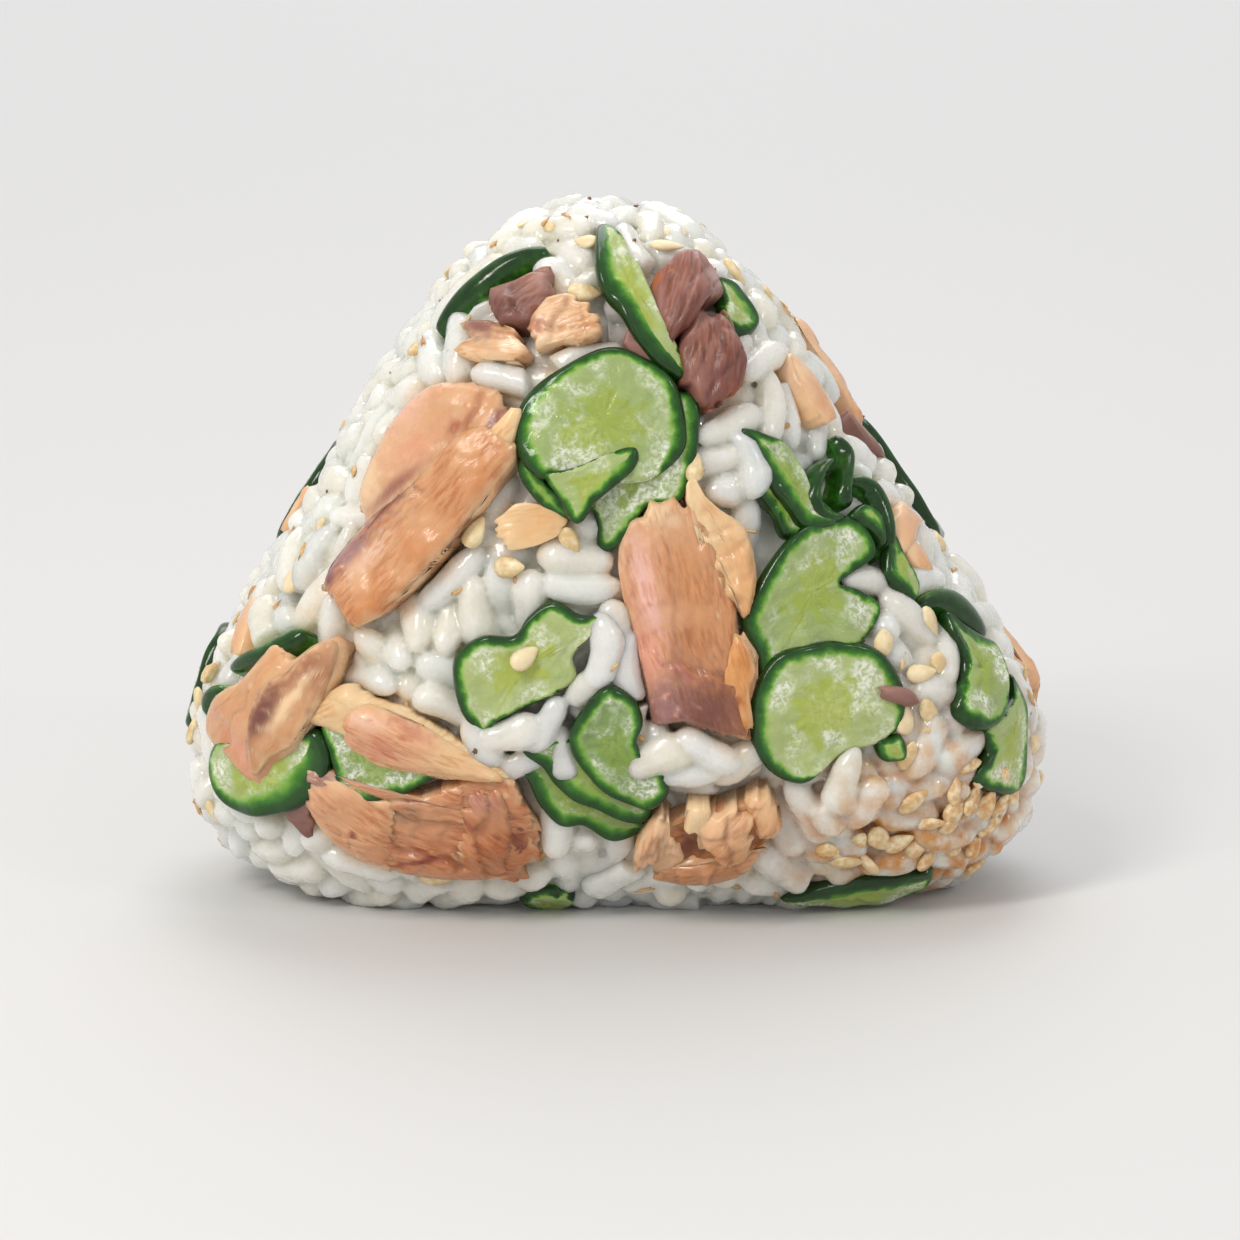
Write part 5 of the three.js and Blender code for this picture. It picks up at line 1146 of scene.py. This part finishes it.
GRAINS_ON_TOP = [  # on the front: x, z, turn, half length, radius, and how far its middle stands out
    (-0.6, 28.6, 82, 3.9, 1.9, 0.3), (-1.9, 25.2, 40, 2.6, 1.5, -0.2),
    (22.6, 15.6, 74, 3.6, 1.6, 0.4), (24.7, 13.0, 60, 3.0, 1.5, 0.2), (20.9, 12.4, 110, 3.0, 1.6, 0.0),
    (-31.2, 16.6, 60, 1.9, 1.5, 0.6), (-10.4, 48.6, 100, 2.0, 1.6, 0.2), (5.2, 18.4, 20, 3.8, 1.9, 0.5),
    (9.4, 18.8, 150, 3.6, 1.8, 0.5), (7.2, 16.6, 5, 3.8, 1.8, 0.2),
    (-9.4, 20.4, 15, 3.4, 1.6, 0.0), (-6.0, 21.4, 60, 3.2, 1.6, 0.1), (-12.4, 19.3, 120, 3.0, 1.5, -0.5),
    (-8.2, 17.6, 30, 3.6, 1.6, -0.8), (-4.6, 18.4, 100, 3.0, 1.5, -0.7), (1.8, 27.0, 95, 3.4, 1.6, -0.4),
    (2.2, 21.6, 80, 3.2, 1.6, -0.4), (12.4, 17.4, 35, 3.2, 1.6, -0.5), (13.6, 46.0, 100, 3.4, 1.6, -0.2),
]


def fill_points(topping):
    """Points spread through a topping, with how far each keeps the rice away."""
    if "path" in topping:
        path = np.array(topping["path"], float)
        shares = np.linspace(0, len(path) - 1, 12)
        x, y = (np.interp(shares, np.arange(len(path)), path[:, k]) for k in (0, 1))
        heights, radius = (0.2, FILL_DEPTH), topping["width"] / 2 + 0.1
    else:
        loop = rim(topping["outline"], np.arange(90) / 90)
        radius = 0.95 if topping["kind"] == "slice" else 1.2
        low, high = loop.min(axis=0), loop.max(axis=0)
        x, y = (grid.ravel() for grid in np.meshgrid(np.arange(low[0], high[0], FILL_GAP),
                                                     np.arange(low[1], high[1], FILL_GAP)))
        gap, _ = nearest_on(loop, x, y)
        keep = is_within(x, y, loop) & (gap > FILL_MARGIN)
        x, y = x[keep], y[keep]
        heights = (0,) if topping["kind"] == "slice" else (topping["crown"] - radius, FILL_DEPTH)
    lay = layer(topping)
    filled = [lay(x, y, np.full(len(x), float(height))) for height in heights]
    return np.concatenate(filled), radius


def surface_spots(count, draw):
    """Spots drawn evenly over the ball's surface."""
    spots = []
    while len(spots) < count:
        direction = unit(draw.normal(size=(4 * count, 3)))
        reach = 1 / outwardness(HEART + direction)
        points = HEART + direction * reach[:, None]
        weight = reach ** 2 / np.maximum(0.2, (slopes(points)[0] * direction).sum(axis=1))
        spots.extend(points[draw.uniform(size=len(points)) < weight / weight.max()])
    return np.array(spots[:count])


def tree_of(points):
    """A search tree of points."""
    tree = KDTree(len(points))
    for index, point in enumerate(points):
        tree.insert(point, index)
    tree.balance()
    return tree


def near_pairs(tree, points, reach):
    """Which of some points are within reach of which points in a tree."""
    found = [(index, other) for index, point in enumerate(points)
             for _, other, _ in tree.find_range(point, reach)]
    return np.array(found, int).reshape(-1, 2)


def shoves(apart, room):
    """What moves two balls half of the way that they lack apart, along the line between them."""
    gap = np.linalg.norm(apart, axis=1)
    return apart / gap[:, None] * (0.5 * np.maximum(0, room - gap))[:, None]


def packed_grains(kept_clear, clear_radii, count, sunk, seed):
    """Settles the grains: each is three balls in a row that push off their neighbours and the toppings."""
    draw = np.random.default_rng(seed)
    clear_tree = tree_of(kept_clear)
    spots = surface_spots(4 * count, draw)
    roomy = [sunk > 0 or clear_tree.find(spot)[2] > LEAST_ROOM for spot in spots]
    spots = spots[np.array(roomy)][:count]
    count = len(spots)
    normals = slopes(spots)[0]
    half_lengths = draw.uniform(*GRAIN_HALF_LENGTH, count)
    radii = draw.uniform(*GRAIN_RADIUS, count)
    stand_out = draw.uniform(*STAND_OUT, count)
    centres = spots - normals * (sunk + draw.uniform(*START_DEPTH, (count, 1)))
    tipped = np.where(draw.uniform(size=(count, 1)) < END_ON, TIPPED, LYING)
    headings = unit(np.cross(normals, draw.normal(size=(count, 3))) + tipped * draw.normal(size=(count, 3)))
    offsets = (half_lengths - radii)[:, None, None] * np.array([-1, 0, 1])[None, :, None]
    ball_radii = np.repeat(radii, 3)
    least_depth = SQUASH * ball_radii - np.repeat(stand_out, 3) + sunk
    for step in range(PACK_STEPS):
        balls = (centres[:, None] + headings[:, None] * offsets).reshape(-1, 3)
        if step % STEPS_PER_SEARCH == 0:
            pairs = near_pairs(tree_of(balls), balls, NEIGHBOUR_REACH)
            first, second = pairs[pairs[:, 0] // 3 < pairs[:, 1] // 3].T
            beside, point = near_pairs(clear_tree, balls, TOPPING_REACH).T
        push = np.zeros_like(balls)
        shove = shoves(balls[first] - balls[second], SQUASH * (ball_radii[first] + ball_radii[second]))
        np.add.at(push, first, shove)
        np.add.at(push, second, -shove)
        room = BESIDE_TOPPING * ball_radii[beside] + clear_radii[point]
        np.add.at(push, beside, shoves(balls[beside] - kept_clear[point], room))
        depth, normals = depth_below(balls)
        too_high = np.maximum(0, least_depth - depth)
        rising = SETTLE_OUT * np.clip(depth - least_depth, 0, 1)
        push = PUSHED * push + normals * (rising - PRESSED * too_high)[:, None]
        push = push.reshape(-1, 3, 3)
        centres = centres + push.mean(axis=1)
        turn = (push[:, 2] - push[:, 0]) / (2 * offsets[:, 2])
        turn = turn - headings * (turn * headings).sum(axis=1, keepdims=True)
        headings = unit(headings + TWISTED * turn)
    return centres, headings, half_lengths, radii


def on_front(x, z, turns):
    """Spots on the front of the ball, and headings turned by so many degrees from level."""
    level = np.zeros(len(x))
    starts = np.stack([x, level, z], axis=1)
    toward = np.array([0, -1, 0])
    spots = starts + toward * surface_along(starts, toward, 0, FARTHEST)[:, None]
    turns = np.radians(turns)
    return spots, np.stack([np.cos(turns), level, np.sin(turns)], axis=1)


def flattened(headings, normals):
    """Headings laid flat on a surface with such normals."""
    return unit(headings - normals * (normals * headings).sum(axis=1, keepdims=True))


def laid_grains():
    """The grains that lie on toppings: centres, headings, half lengths and radii."""
    x, z, turns, half_lengths, radii, heights = np.array(GRAINS_ON_TOP, float).T
    spots, headings = on_front(x, z, turns)
    normals = slopes(spots)[0]
    return spots + normals * heights[:, None], flattened(headings, normals), half_lengths, radii


def set_out(centres, ahead, side, up, x, y, z):
    """Points of copies of one shape, each round its own centre and along its own three directions."""
    return (centres[:, None] + x[..., None] * ahead[:, None] + y[..., None] * side[:, None]
            + z[..., None] * up[:, None])


def joined_copies(name, model, placed):
    """One mesh of many copies of a model mesh, each with its own points."""
    count, size = placed.shape[:2]
    sides = [len(face.vertices) for face in model.polygons]
    corners = [vertex for face in model.polygons for vertex in face.vertices]
    corners = (np.array(corners)[None] + np.arange(count)[:, None] * size).ravel()
    sides = np.tile(sides, count)
    mesh = bpy.data.meshes.new(name)
    mesh.vertices.add(count * size)
    mesh.loops.add(len(corners))
    mesh.polygons.add(len(sides))
    mesh.vertices.foreach_set("co", (placed * MM).astype(np.float32).ravel())
    mesh.loops.foreach_set("vertex_index", corners.astype(np.int32))
    mesh.polygons.foreach_set("loop_start", np.r_[0, np.cumsum(sides)[:-1]].astype(np.int32))
    mesh.update(calc_edges=True)
    made = bpy.data.objects.new(name, mesh)
    bpy.context.scene.collection.objects.link(made)
    return made


def model_of(segments, rings):
    """A ball lying along x, to be shaped into a grain or a seed and copied."""
    made = primitive(bpy.ops.mesh.primitive_uv_sphere_add, "model",
                     segments=segments, ring_count=rings, radius=1)
    mesh = made.data
    points = points_of(mesh)[:, [2, 0, 1]]
    bpy.data.objects.remove(made)
    return mesh, points


def grain_points(ball, centres, headings, half_lengths, radii, draw):
    """Points of plump grains, each bent, tapered, dented and broken its own way."""
    count = len(centres)
    along = ball[:, 0][None]
    bend, taper, plump = (draw.normal(0, spread, (count, 1)) for spread in (BENT, TAPERED, PLUMP))
    width = radii[:, None] * (1 + plump)
    round_end = np.sqrt(np.maximum(1e-6, 1 - along ** 2))
    blunt = np.sqrt(np.maximum(0, 1 - np.abs(along) ** GRAIN_BLUNTNESS)) / round_end
    blunt = np.where(np.abs(along) > 0.999, 1, blunt)
    waist = 1 + WAISTED * np.cos(5 * along + draw.uniform(0, 6, (count, 1)))
    swell = blunt * waist * (1 + taper * along)
    broken = np.where(draw.uniform(size=(count, 1)) < BROKEN, draw.uniform(0.4, 0.8, (count, 1)), 1)
    slanted = broken - 0.25 * (broken < 1) * ball[:, 1][None]
    x = np.minimum(along, slanted) * half_lengths[:, None]
    y = ball[:, 1][None] * width * swell + bend * (along ** 2 - 0.4)
    around = np.arctan2(ball[:, 2], ball[:, 1])[None]
    dent = 1 - DENTED * np.cos(3 * around + draw.uniform(0, 6, (count, 1)))
    z = ball[:, 2][None] * 0.92 * width * swell * dent
    side = unit(np.cross(slopes(centres)[0], headings))
    return set_out(centres, headings, side, np.cross(headings, side), x, y, z)


def core_points(ball, quarter):
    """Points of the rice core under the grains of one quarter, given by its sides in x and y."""
    direction = unit(ball)
    points = HEART + direction / outwardness(HEART + direction)[:, None]
    normals = slopes(points)[0]
    inset = CORE_DEPTH * np.minimum(1, CORE_FOOT + normals[:, 2]) + CORE_UNEVEN * waves(points, 4, 8)
    points = points - normals * inset[:, None]
    points[:, 2] = np.maximum(points[:, 2], 0)
    for axis, side in enumerate(quarter):
        points[:, axis] = side * np.maximum(-QUARTERS_SHARE, side * points[:, axis])
    return points


def apply_modifier(made, kind, **settings):
    """Adds a modifier to a mesh with such settings, and applies it."""
    modifier = made.modifiers.new(kind.lower(), kind)
    for name, value in settings.items():
        setattr(modifier, name, value)
    bpy.context.view_layer.objects.active = made
    bpy.ops.object.modifier_apply(modifier=modifier.name)


def rice_quarter(name, quarter, grains, tints, greasy_points, draw):
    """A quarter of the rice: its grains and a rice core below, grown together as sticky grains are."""
    centres, headings, half_lengths, radii = grains
    mesh, ball = model_of(12, 10)
    points = grain_points(ball, centres, headings, half_lengths, radii, draw)
    made = joined_copies(name, mesh, points)
    heap = primitive(bpy.ops.mesh.primitive_ico_sphere_add, "heap", subdivisions=6, radius=1)
    place_points(heap.data, core_points(points_of(heap.data), quarter))
    bpy.ops.object.select_all(action="DESELECT")
    heap.select_set(True)
    made.select_set(True)
    bpy.context.view_layer.objects.active = made
    bpy.ops.object.join()
    apply_modifier(made, "REMESH", mode="VOXEL", voxel_size=RICE_SKIN[quarter[1]] * MM, adaptivity=0)
    apply_modifier(made, "SMOOTH", factor=0.4, iterations=1)
    keep_outer_skin(made)
    share = RICE_FACES[quarter[1]] / (2 * len(made.data.polygons))
    apply_modifier(made, "DECIMATE", ratio=min(1, share))
    flat = points_of(made.data) / MM
    flat[:, 2] = np.maximum(flat[:, 2], 0)
    place_points(made.data, flat)
    shades = grain_shades(flat, grains, tints)
    # painted shade darkens the creases between grains
    shades = mixed(shades, PAINTED_CREASE_SHADE, PAINTED_CREASE_SHADE_SHARE * crease_shade_amount(made.data, flat))
    keep_values(made.data, tint=stained(flat, shades, greasy_points))
    return made


def grain_shades(points, grains, tints):
    """The colour of the grain that each point is on, which fades in the joints between grains to a colour
    painted a little lighter, as light that passes through the rice.
    """
    centres, headings, half_lengths, radii = grains
    spots_along = np.array([-1, -0.5, 0, 0.5, 1])
    offsets = (half_lengths - radii)[:, None, None] * spots_along[None, :, None]
    tree = tree_of((centres[:, None] + headings[:, None] * offsets).reshape(-1, 3))
    found = [tree.find(point)[1:] for point in points]
    nearest = np.array([index for index, _ in found]) // len(spots_along)
    away = np.array([gap for _, gap in found]) - radii[nearest]
    return mixed(tints[nearest], PAINTED_LIGHT_BETWEEN_GRAINS, away / BETWEEN_REACH)


def keep_outer_skin(made):
    """Takes away the skins of the small hollows between grains, which nobody sees."""
    heights = points_of(made.data)[:, 2]
    is_top = np.zeros(len(heights), bool)
    is_top[np.argmax(heights)] = True
    made.data.vertices.foreach_set("select", is_top)
    made.data.edges.foreach_set("select", np.zeros(len(made.data.edges), bool))
    made.data.polygons.foreach_set("select", np.zeros(len(made.data.polygons), bool))
    bpy.context.view_layer.objects.active = made
    bpy.ops.object.mode_set(mode="EDIT")
    bpy.ops.mesh.select_mode(type="VERT")
    bpy.ops.mesh.select_linked()
    bpy.ops.mesh.select_all(action="INVERT")
    bpy.ops.mesh.delete(type="VERT")
    bpy.ops.object.mode_set(mode="OBJECT")


def crease_shade_amount(mesh, points):
    """How much each point lies in a crease between grains, 0 to 1, which sets how much painted shade it gets.
    """
    edges = np.empty(2 * len(mesh.edges), np.int32)
    mesh.edges.foreach_get("vertices", edges)
    first, second = edges.reshape(-1, 2).T
    number = np.bincount(first, minlength=len(points)) + np.bincount(second, minlength=len(points))

    def around(values):
        sums = [np.bincount(first, column[second], len(points))
                + np.bincount(second, column[first], len(points)) for column in values.T]
        return np.stack(sums, axis=1) / number[:, None]

    normals = np.empty(3 * len(points), np.float32)
    mesh.vertex_normals.foreach_get("vector", normals)
    hollow = ((around(points) - points) * normals.reshape(-1, 3)).sum(axis=1, keepdims=True)
    for _ in range(2):
        hollow = 0.5 * hollow + 0.5 * around(hollow)
    return np.clip(hollow[:, 0] / CREASE, 0, 1)


def stained(points, tints, greasy_points):
    """Colours of rice points, warmed where they touch fish, and where sauce has run, with warm bounce light
    painted in there too.
    """
    tree = tree_of(greasy_points)
    near = np.array([tree.find(point)[2] for point in points])
    reach = GREASE_REACH + GREASE_WAVER * waves(points, 4, 61)
    tints = mixed(tints, GREASE, GREASE_SHARE * np.clip((reach - near) / GREASE_FADE, 0, 1))
    # sauce, partly painted warm light bounced up from below
    for x, y, z, radius, code, strength in SAUCE_AND_BOUNCE_LIGHT:
        far = np.linalg.norm(points - (x, y, z), axis=1) / radius
        share = strength * np.exp(-far ** 2) * (0.75 + 0.5 * waves(points, 2.5, 62))
        tints = mixed(tints, code, share)
    return tints


def drawn_tints(draw, count, *codes):
    """One colour for each of count things, somewhere between neighbouring colours of a list."""
    shades = np.array([colour(code) for code in codes])
    place = draw.uniform(0, len(shades) - 1.001, count)
    first = place.astype(int)
    return mixed(shades[first], shades[first + 1], place - first)


SEEDS = [  # on the front: x, z, which way each points in degrees, and how high it lies on a slice
    (8.2, 46.1, 80), (-9.5, 36.6, 0), (-7.9, 28.2, 40, 1.3), (-30.8, 33.5, 95), (-18.5, 55.8, 20),
    (-2.3, 62.1, 10), (-4.8, 67.4, 60), (28.6, 21.1, 90), (31.2, 21.3, 320), (31.3, 29.6, 300),
    (26.7, 28.7, 60), (32.2, 25.6, 310), (30.3, 25.2, 10), (29, 17.4, 80), (-12.8, 39.8, 60),
    (-3.7, 39.2, 300), (-17.0, 4.4, 0), (36.8, 14.4, 30), (35, 15.8, 0), (39.2, 13.4, 340),
    (33.2, 9.4, 70), (34.2, 11.4, 60), (23.1, 6.4, 0), (21.6, 7.6, 340), (29.6, 12.6, 40),
    (33.8, 13.4, 80), (37.8, 9.0, 20), (28.6, 5.6, 100), (33.4, 7.2, 130), (36, 6.6, 60), (24.2, 8.6, 70),
    (39.6, 12.2, 80), (38.2, 16.6, 60), (30.0, 7.6, 60), (26.7, 8.6, 310), (28.1, 8.2, 20),
    (35.3, 11.8, 45), (36.9, 11.1, 60), (38.6, 10.6, 60), (31.1, 10, 20), (25, 6.2, 150), (31.4, 6, 20),
]
OTHER_SEEDS = 64  # on the slopes and the back
FRONT_END, FOOT = -12, 1.5  # y behind which those lie, and z above which
SEED_ROOM, SEED_STEPS = 1.6, 12  # beside toppings, and how often they move apart
SEED_DEPTH, SEED_GAP = 0.2, 2.1  # how far they are sunk, and how far apart they lie
SEED_HALF = (1.65, 1.0, 0.5)  # half their length, width and thickness


def seed_places(kept_clear, draw):
    """Where the seeds lie and which way they point: those of the front, then others elsewhere."""
    x, z, turns, heights = np.array([(*seed, 0)[:4] for seed in SEEDS], float).T
    spots, headings = on_front(x, z, turns)
    more = surface_spots(12 * OTHER_SEEDS, draw)
    clear_tree = tree_of(np.concatenate([kept_clear, spots]))
    is_elsewhere = (more[:, 1] > FRONT_END) & (more[:, 2] > FOOT)
    roomy = np.array([clear_tree.find(spot)[2] > SEED_ROOM for spot in more])
    more = more[is_elsewhere & roomy][:OTHER_SEEDS]
    spots = np.concatenate([spots, more])
    headings = np.concatenate([headings, draw.normal(size=more.shape)])
    headings = flattened(headings, slopes(spots)[0])
    depths = SEED_DEPTH - np.r_[heights, np.zeros(len(more))]
    for _ in range(SEED_STEPS):
        apart = spots[:, None] - spots[None]
        gap = np.linalg.norm(apart, axis=2) + 99 * np.eye(len(spots))
        shove = 0.25 * np.maximum(0, SEED_GAP - gap)
        spots = spots + (apart / gap[..., None] * shove[..., None]).sum(axis=1)
        spots = spots + slopes(spots)[0] * (depth_below(spots)[0] - depths)[:, None]
    return spots, headings


def seed_piece(centres, headings, draw):
    """Flat teardrop seeds that lie on the rice."""
    mesh, ball = model_of(8, 8)
    count = len(centres)
    sizes = draw.uniform(0.88, 1.1, (count, 1))
    narrowing = 1 - 0.38 * ball[:, 0][None] - 0.1 * ball[:, 0][None] ** 2
    x, y, z = (ball[:, k][None] * sizes * half for k, half in enumerate(SEED_HALF))
    y, z = y * narrowing, z * narrowing
    normals = unit(slopes(centres)[0] + 0.22 * draw.normal(size=centres.shape))
    headings = flattened(headings, normals)
    points = set_out(centres, headings, np.cross(normals, headings), normals, x, y, z)
    made = joined_copies("sesame_seeds", mesh, points)
    tints = drawn_tints(draw, count, "#f1dfb9", "#e6cd9b", "#d3b279")
    # seeds in the sauce take its colour, partly painted warm bounce light
    x, y, z, radius = SAUCE_AND_BOUNCE_LIGHT[0][:4]
    sauced_and_warmed = np.exp(-(np.linalg.norm(centres - (x, y, z), axis=1) / radius) ** 2)
    tints = mixed(tints, "#cb8a3e", 0.85 * sauced_and_warmed)
    keep_values(made.data, tint=np.repeat(tints, len(ball), axis=0))
    return made


CRUMBS, SPECKS = 130, 50
CRUMB_HALF = (0.9, 0.35, 0.25)  # half their length, width and thickness
SPECK_HALF = (0.12, 0.28)
CRUMB_ROOM, LUMPY = 1.0, 0.3  # beside toppings, and how uneven crumbs are


def on_rice(rice, spots, normals):
    """Where lines from outside, through spots on the ball, meet the grains."""
    found = []
    for start, normal in zip((spots + 4 * normals) * MM, normals):
        hits = [quarter.ray_cast(Vector(start), Vector(-normal)) for quarter in rice]
        found.append(max((hit[1] for hit in hits if hit[0]), key=lambda at: at.dot(Vector(normal))) / MM)
    return np.array(found)


def crumb_piece(rice, kept_clear, draw):
    """Fish crumbs and brown specks, scattered on the rice."""
    count = CRUMBS + SPECKS
    spots = surface_spots(4 * count, draw)
    clear_tree = tree_of(kept_clear)
    spots = spots[np.array([clear_tree.find(spot)[2] > CRUMB_ROOM for spot in spots])][:count]
    normals = slopes(spots)[0]
    centres = on_rice(rice, spots, normals)
    mesh, ball = model_of(7, 6)
    half = np.array(CRUMB_HALF) * draw.uniform(0.5, 1.2, (count, 3))
    half[CRUMBS:] = draw.uniform(*SPECK_HALF, (SPECKS, 1))
    lumpy = ball[None] * (1 + LUMPY * draw.normal(size=(count, len(ball), 1))) * half[:, None]
    lumpy[:, [0, -1]] = ball[None, [0, -1]] * half[:, None]
    headings = unit(np.cross(normals, draw.normal(size=(count, 3))))
    points = set_out(centres, headings, np.cross(normals, headings), normals, *np.moveaxis(lumpy, 2, 0))
    points[..., 2] = np.maximum(points[..., 2], 0.02)
    made = joined_copies("fish_crumbs", mesh, points)
    tints = drawn_tints(draw, count, "#efcd9c", "#e0ad70", "#cc9258", "#e8c08a")
    tints[CRUMBS:] = drawn_tints(draw, SPECKS, "#8a5c38", "#5a3826")
    keep_values(made.data, tint=np.repeat(tints, len(ball), axis=0), fibrous=0)
    keep_map(made.data, "Fibres", *points.reshape(-1, 3).T[[0, 2]])
    return made


# ---- making everything ----

MAKERS = {"slice": slice_piece, "chunk": chunk_piece, "band": band_piece}
for topping in TOPPINGS:
    made = MAKERS[topping["kind"]](topping)
    name = topping["name"]
    slot = next(key for key in ("cucumber", "fish", "dark_meat") if name.startswith(key))
    material = {"cucumber": CUCUMBER, "fish": FISH, "dark_meat": DARK_MEAT}[slot]
    finish_piece(made, material, slot, topping.get("part_of") or ("rice" if topping.get("crumb") else name))

filled = [fill_points(topping) for topping in TOPPINGS]
kept_clear = np.concatenate([points for points, _ in filled])
clear_radii = np.concatenate([np.full(len(points), radius) for points, radius in filled])
greasy = np.concatenate([
    points for topping, (points, _) in zip(TOPPINGS, filled) if not topping["name"].startswith("cucumber")])
draw = np.random.default_rng(12)
seed_centres, seed_headings = seed_places(kept_clear, draw)
finish_piece(seed_piece(seed_centres, seed_headings, draw), SESAME, "rice", "rice")

layers = (packed_grains(kept_clear, clear_radii, GRAINS, 0, 4), laid_grains(),
          packed_grains(kept_clear, 0.3 * clear_radii, GRAINS_BELOW, BELOW, 5))
grains = [np.concatenate(values) for values in zip(*layers)]
tints = drawn_tints(draw, len(grains[0]), "#d7dad3", "#e3e5dd", "#e0dac8", "#eaeae2", "#d1d6d3")
rice = []
for name, quarter in (("rice_front_left", (-1, -1)), ("rice_front_right", (1, -1)),
                      ("rice_back_left", (-1, 1)), ("rice_back_right", (1, 1))):
    here = (grains[0][:, 0] * quarter[0] > 0) & (grains[0][:, 1] * quarter[1] > 0)
    made = rice_quarter(name, quarter, [values[here] for values in grains], tints[here], greasy, draw)
    finish_piece(made, RICE, "rice", "rice")
    rice.append(made)
finish_piece(crumb_piece(rice, kept_clear, draw), FISH, "fish", "rice")

# ---- floor, light and camera ----

FLOOR_WIDTH = 6
ROOM_COLOUR, ROOM_BRIGHTNESS = "#e7e6e6", 0.82
CENTRE = (0, 0, 0.03)  # of the ball, where the lights aim

floor = primitive(bpy.ops.mesh.primitive_plane_add, "floor", size=FLOOR_WIDTH)
floor.data.materials.append(painted_floor())

world = bpy.data.worlds.new("studio")
bpy.context.scene.world = world
world.use_nodes = True
background = world.node_tree.nodes["Background"]
background.inputs["Color"].default_value = colour(ROOM_COLOUR)
background.inputs["Strength"].default_value = ROOM_BRIGHTNESS


def soft_light(name, place, aim, width, power, code):
    """A square soft light. Place and aim are in metres."""
    lamp = bpy.data.lights.new(name, "AREA")
    lamp.size = width
    lamp.energy = power
    lamp.color = colour(code)[:3]
    made = bpy.data.objects.new(name, lamp)
    bpy.context.scene.collection.objects.link(made)
    made.location = place
    way = np.array(aim, float) - np.array(place, float)
    tip = math.acos(-way[2] / np.linalg.norm(way))
    made.rotation_euler = (tip, 0, math.atan2(way[1], way[0]) - math.pi / 2)


for column in (-1, 1):  # a window with four panes, in front at the left
    for row in (-1, 1):
        soft_light(f"pane_{column}_{row}", (-0.38 + 0.1 * column, -0.45 + 0.06 * column, 0.56 + 0.11 * row),
                   CENTRE, 0.12, 0.7, "#fffaf2")
soft_light("far_window", (0.5, -0.45, 0.5), CENTRE, 0.08, 0.4, "#ffffff")
soft_light("above", (0.05, 0.25, 0.7), CENTRE, 0.3, 0.8, "#ffffff")
soft_light("behind", (0, 1.1, 0.9), (0, 1.0, 0), 0.9, 5.0, "#ffffff")  # brightens the floor behind

CAMERA_DISTANCE, CAMERA_RISE = 0.52, math.radians(12.4)  # from the aim, and how far it looks down
CAMERA_AIM = (0.00108, 0, 0.0264)
LENS, SENSOR = 151, 36  # in millimetres
camera_lens = bpy.data.cameras.new("camera")
camera_lens.lens, camera_lens.sensor_width = LENS, SENSOR
camera_lens.clip_start, camera_lens.clip_end = 0.05, 20
camera = bpy.data.objects.new("camera", camera_lens)
bpy.context.scene.collection.objects.link(camera)
camera.location = (CAMERA_AIM[0], -CAMERA_DISTANCE * math.cos(CAMERA_RISE),
                   CAMERA_AIM[2] + CAMERA_DISTANCE * math.sin(CAMERA_RISE))
camera.rotation_euler = (math.pi / 2 - CAMERA_RISE, 0, 0)
bpy.context.scene.camera = camera
bpy.context.scene.view_settings.view_transform = "Standard"
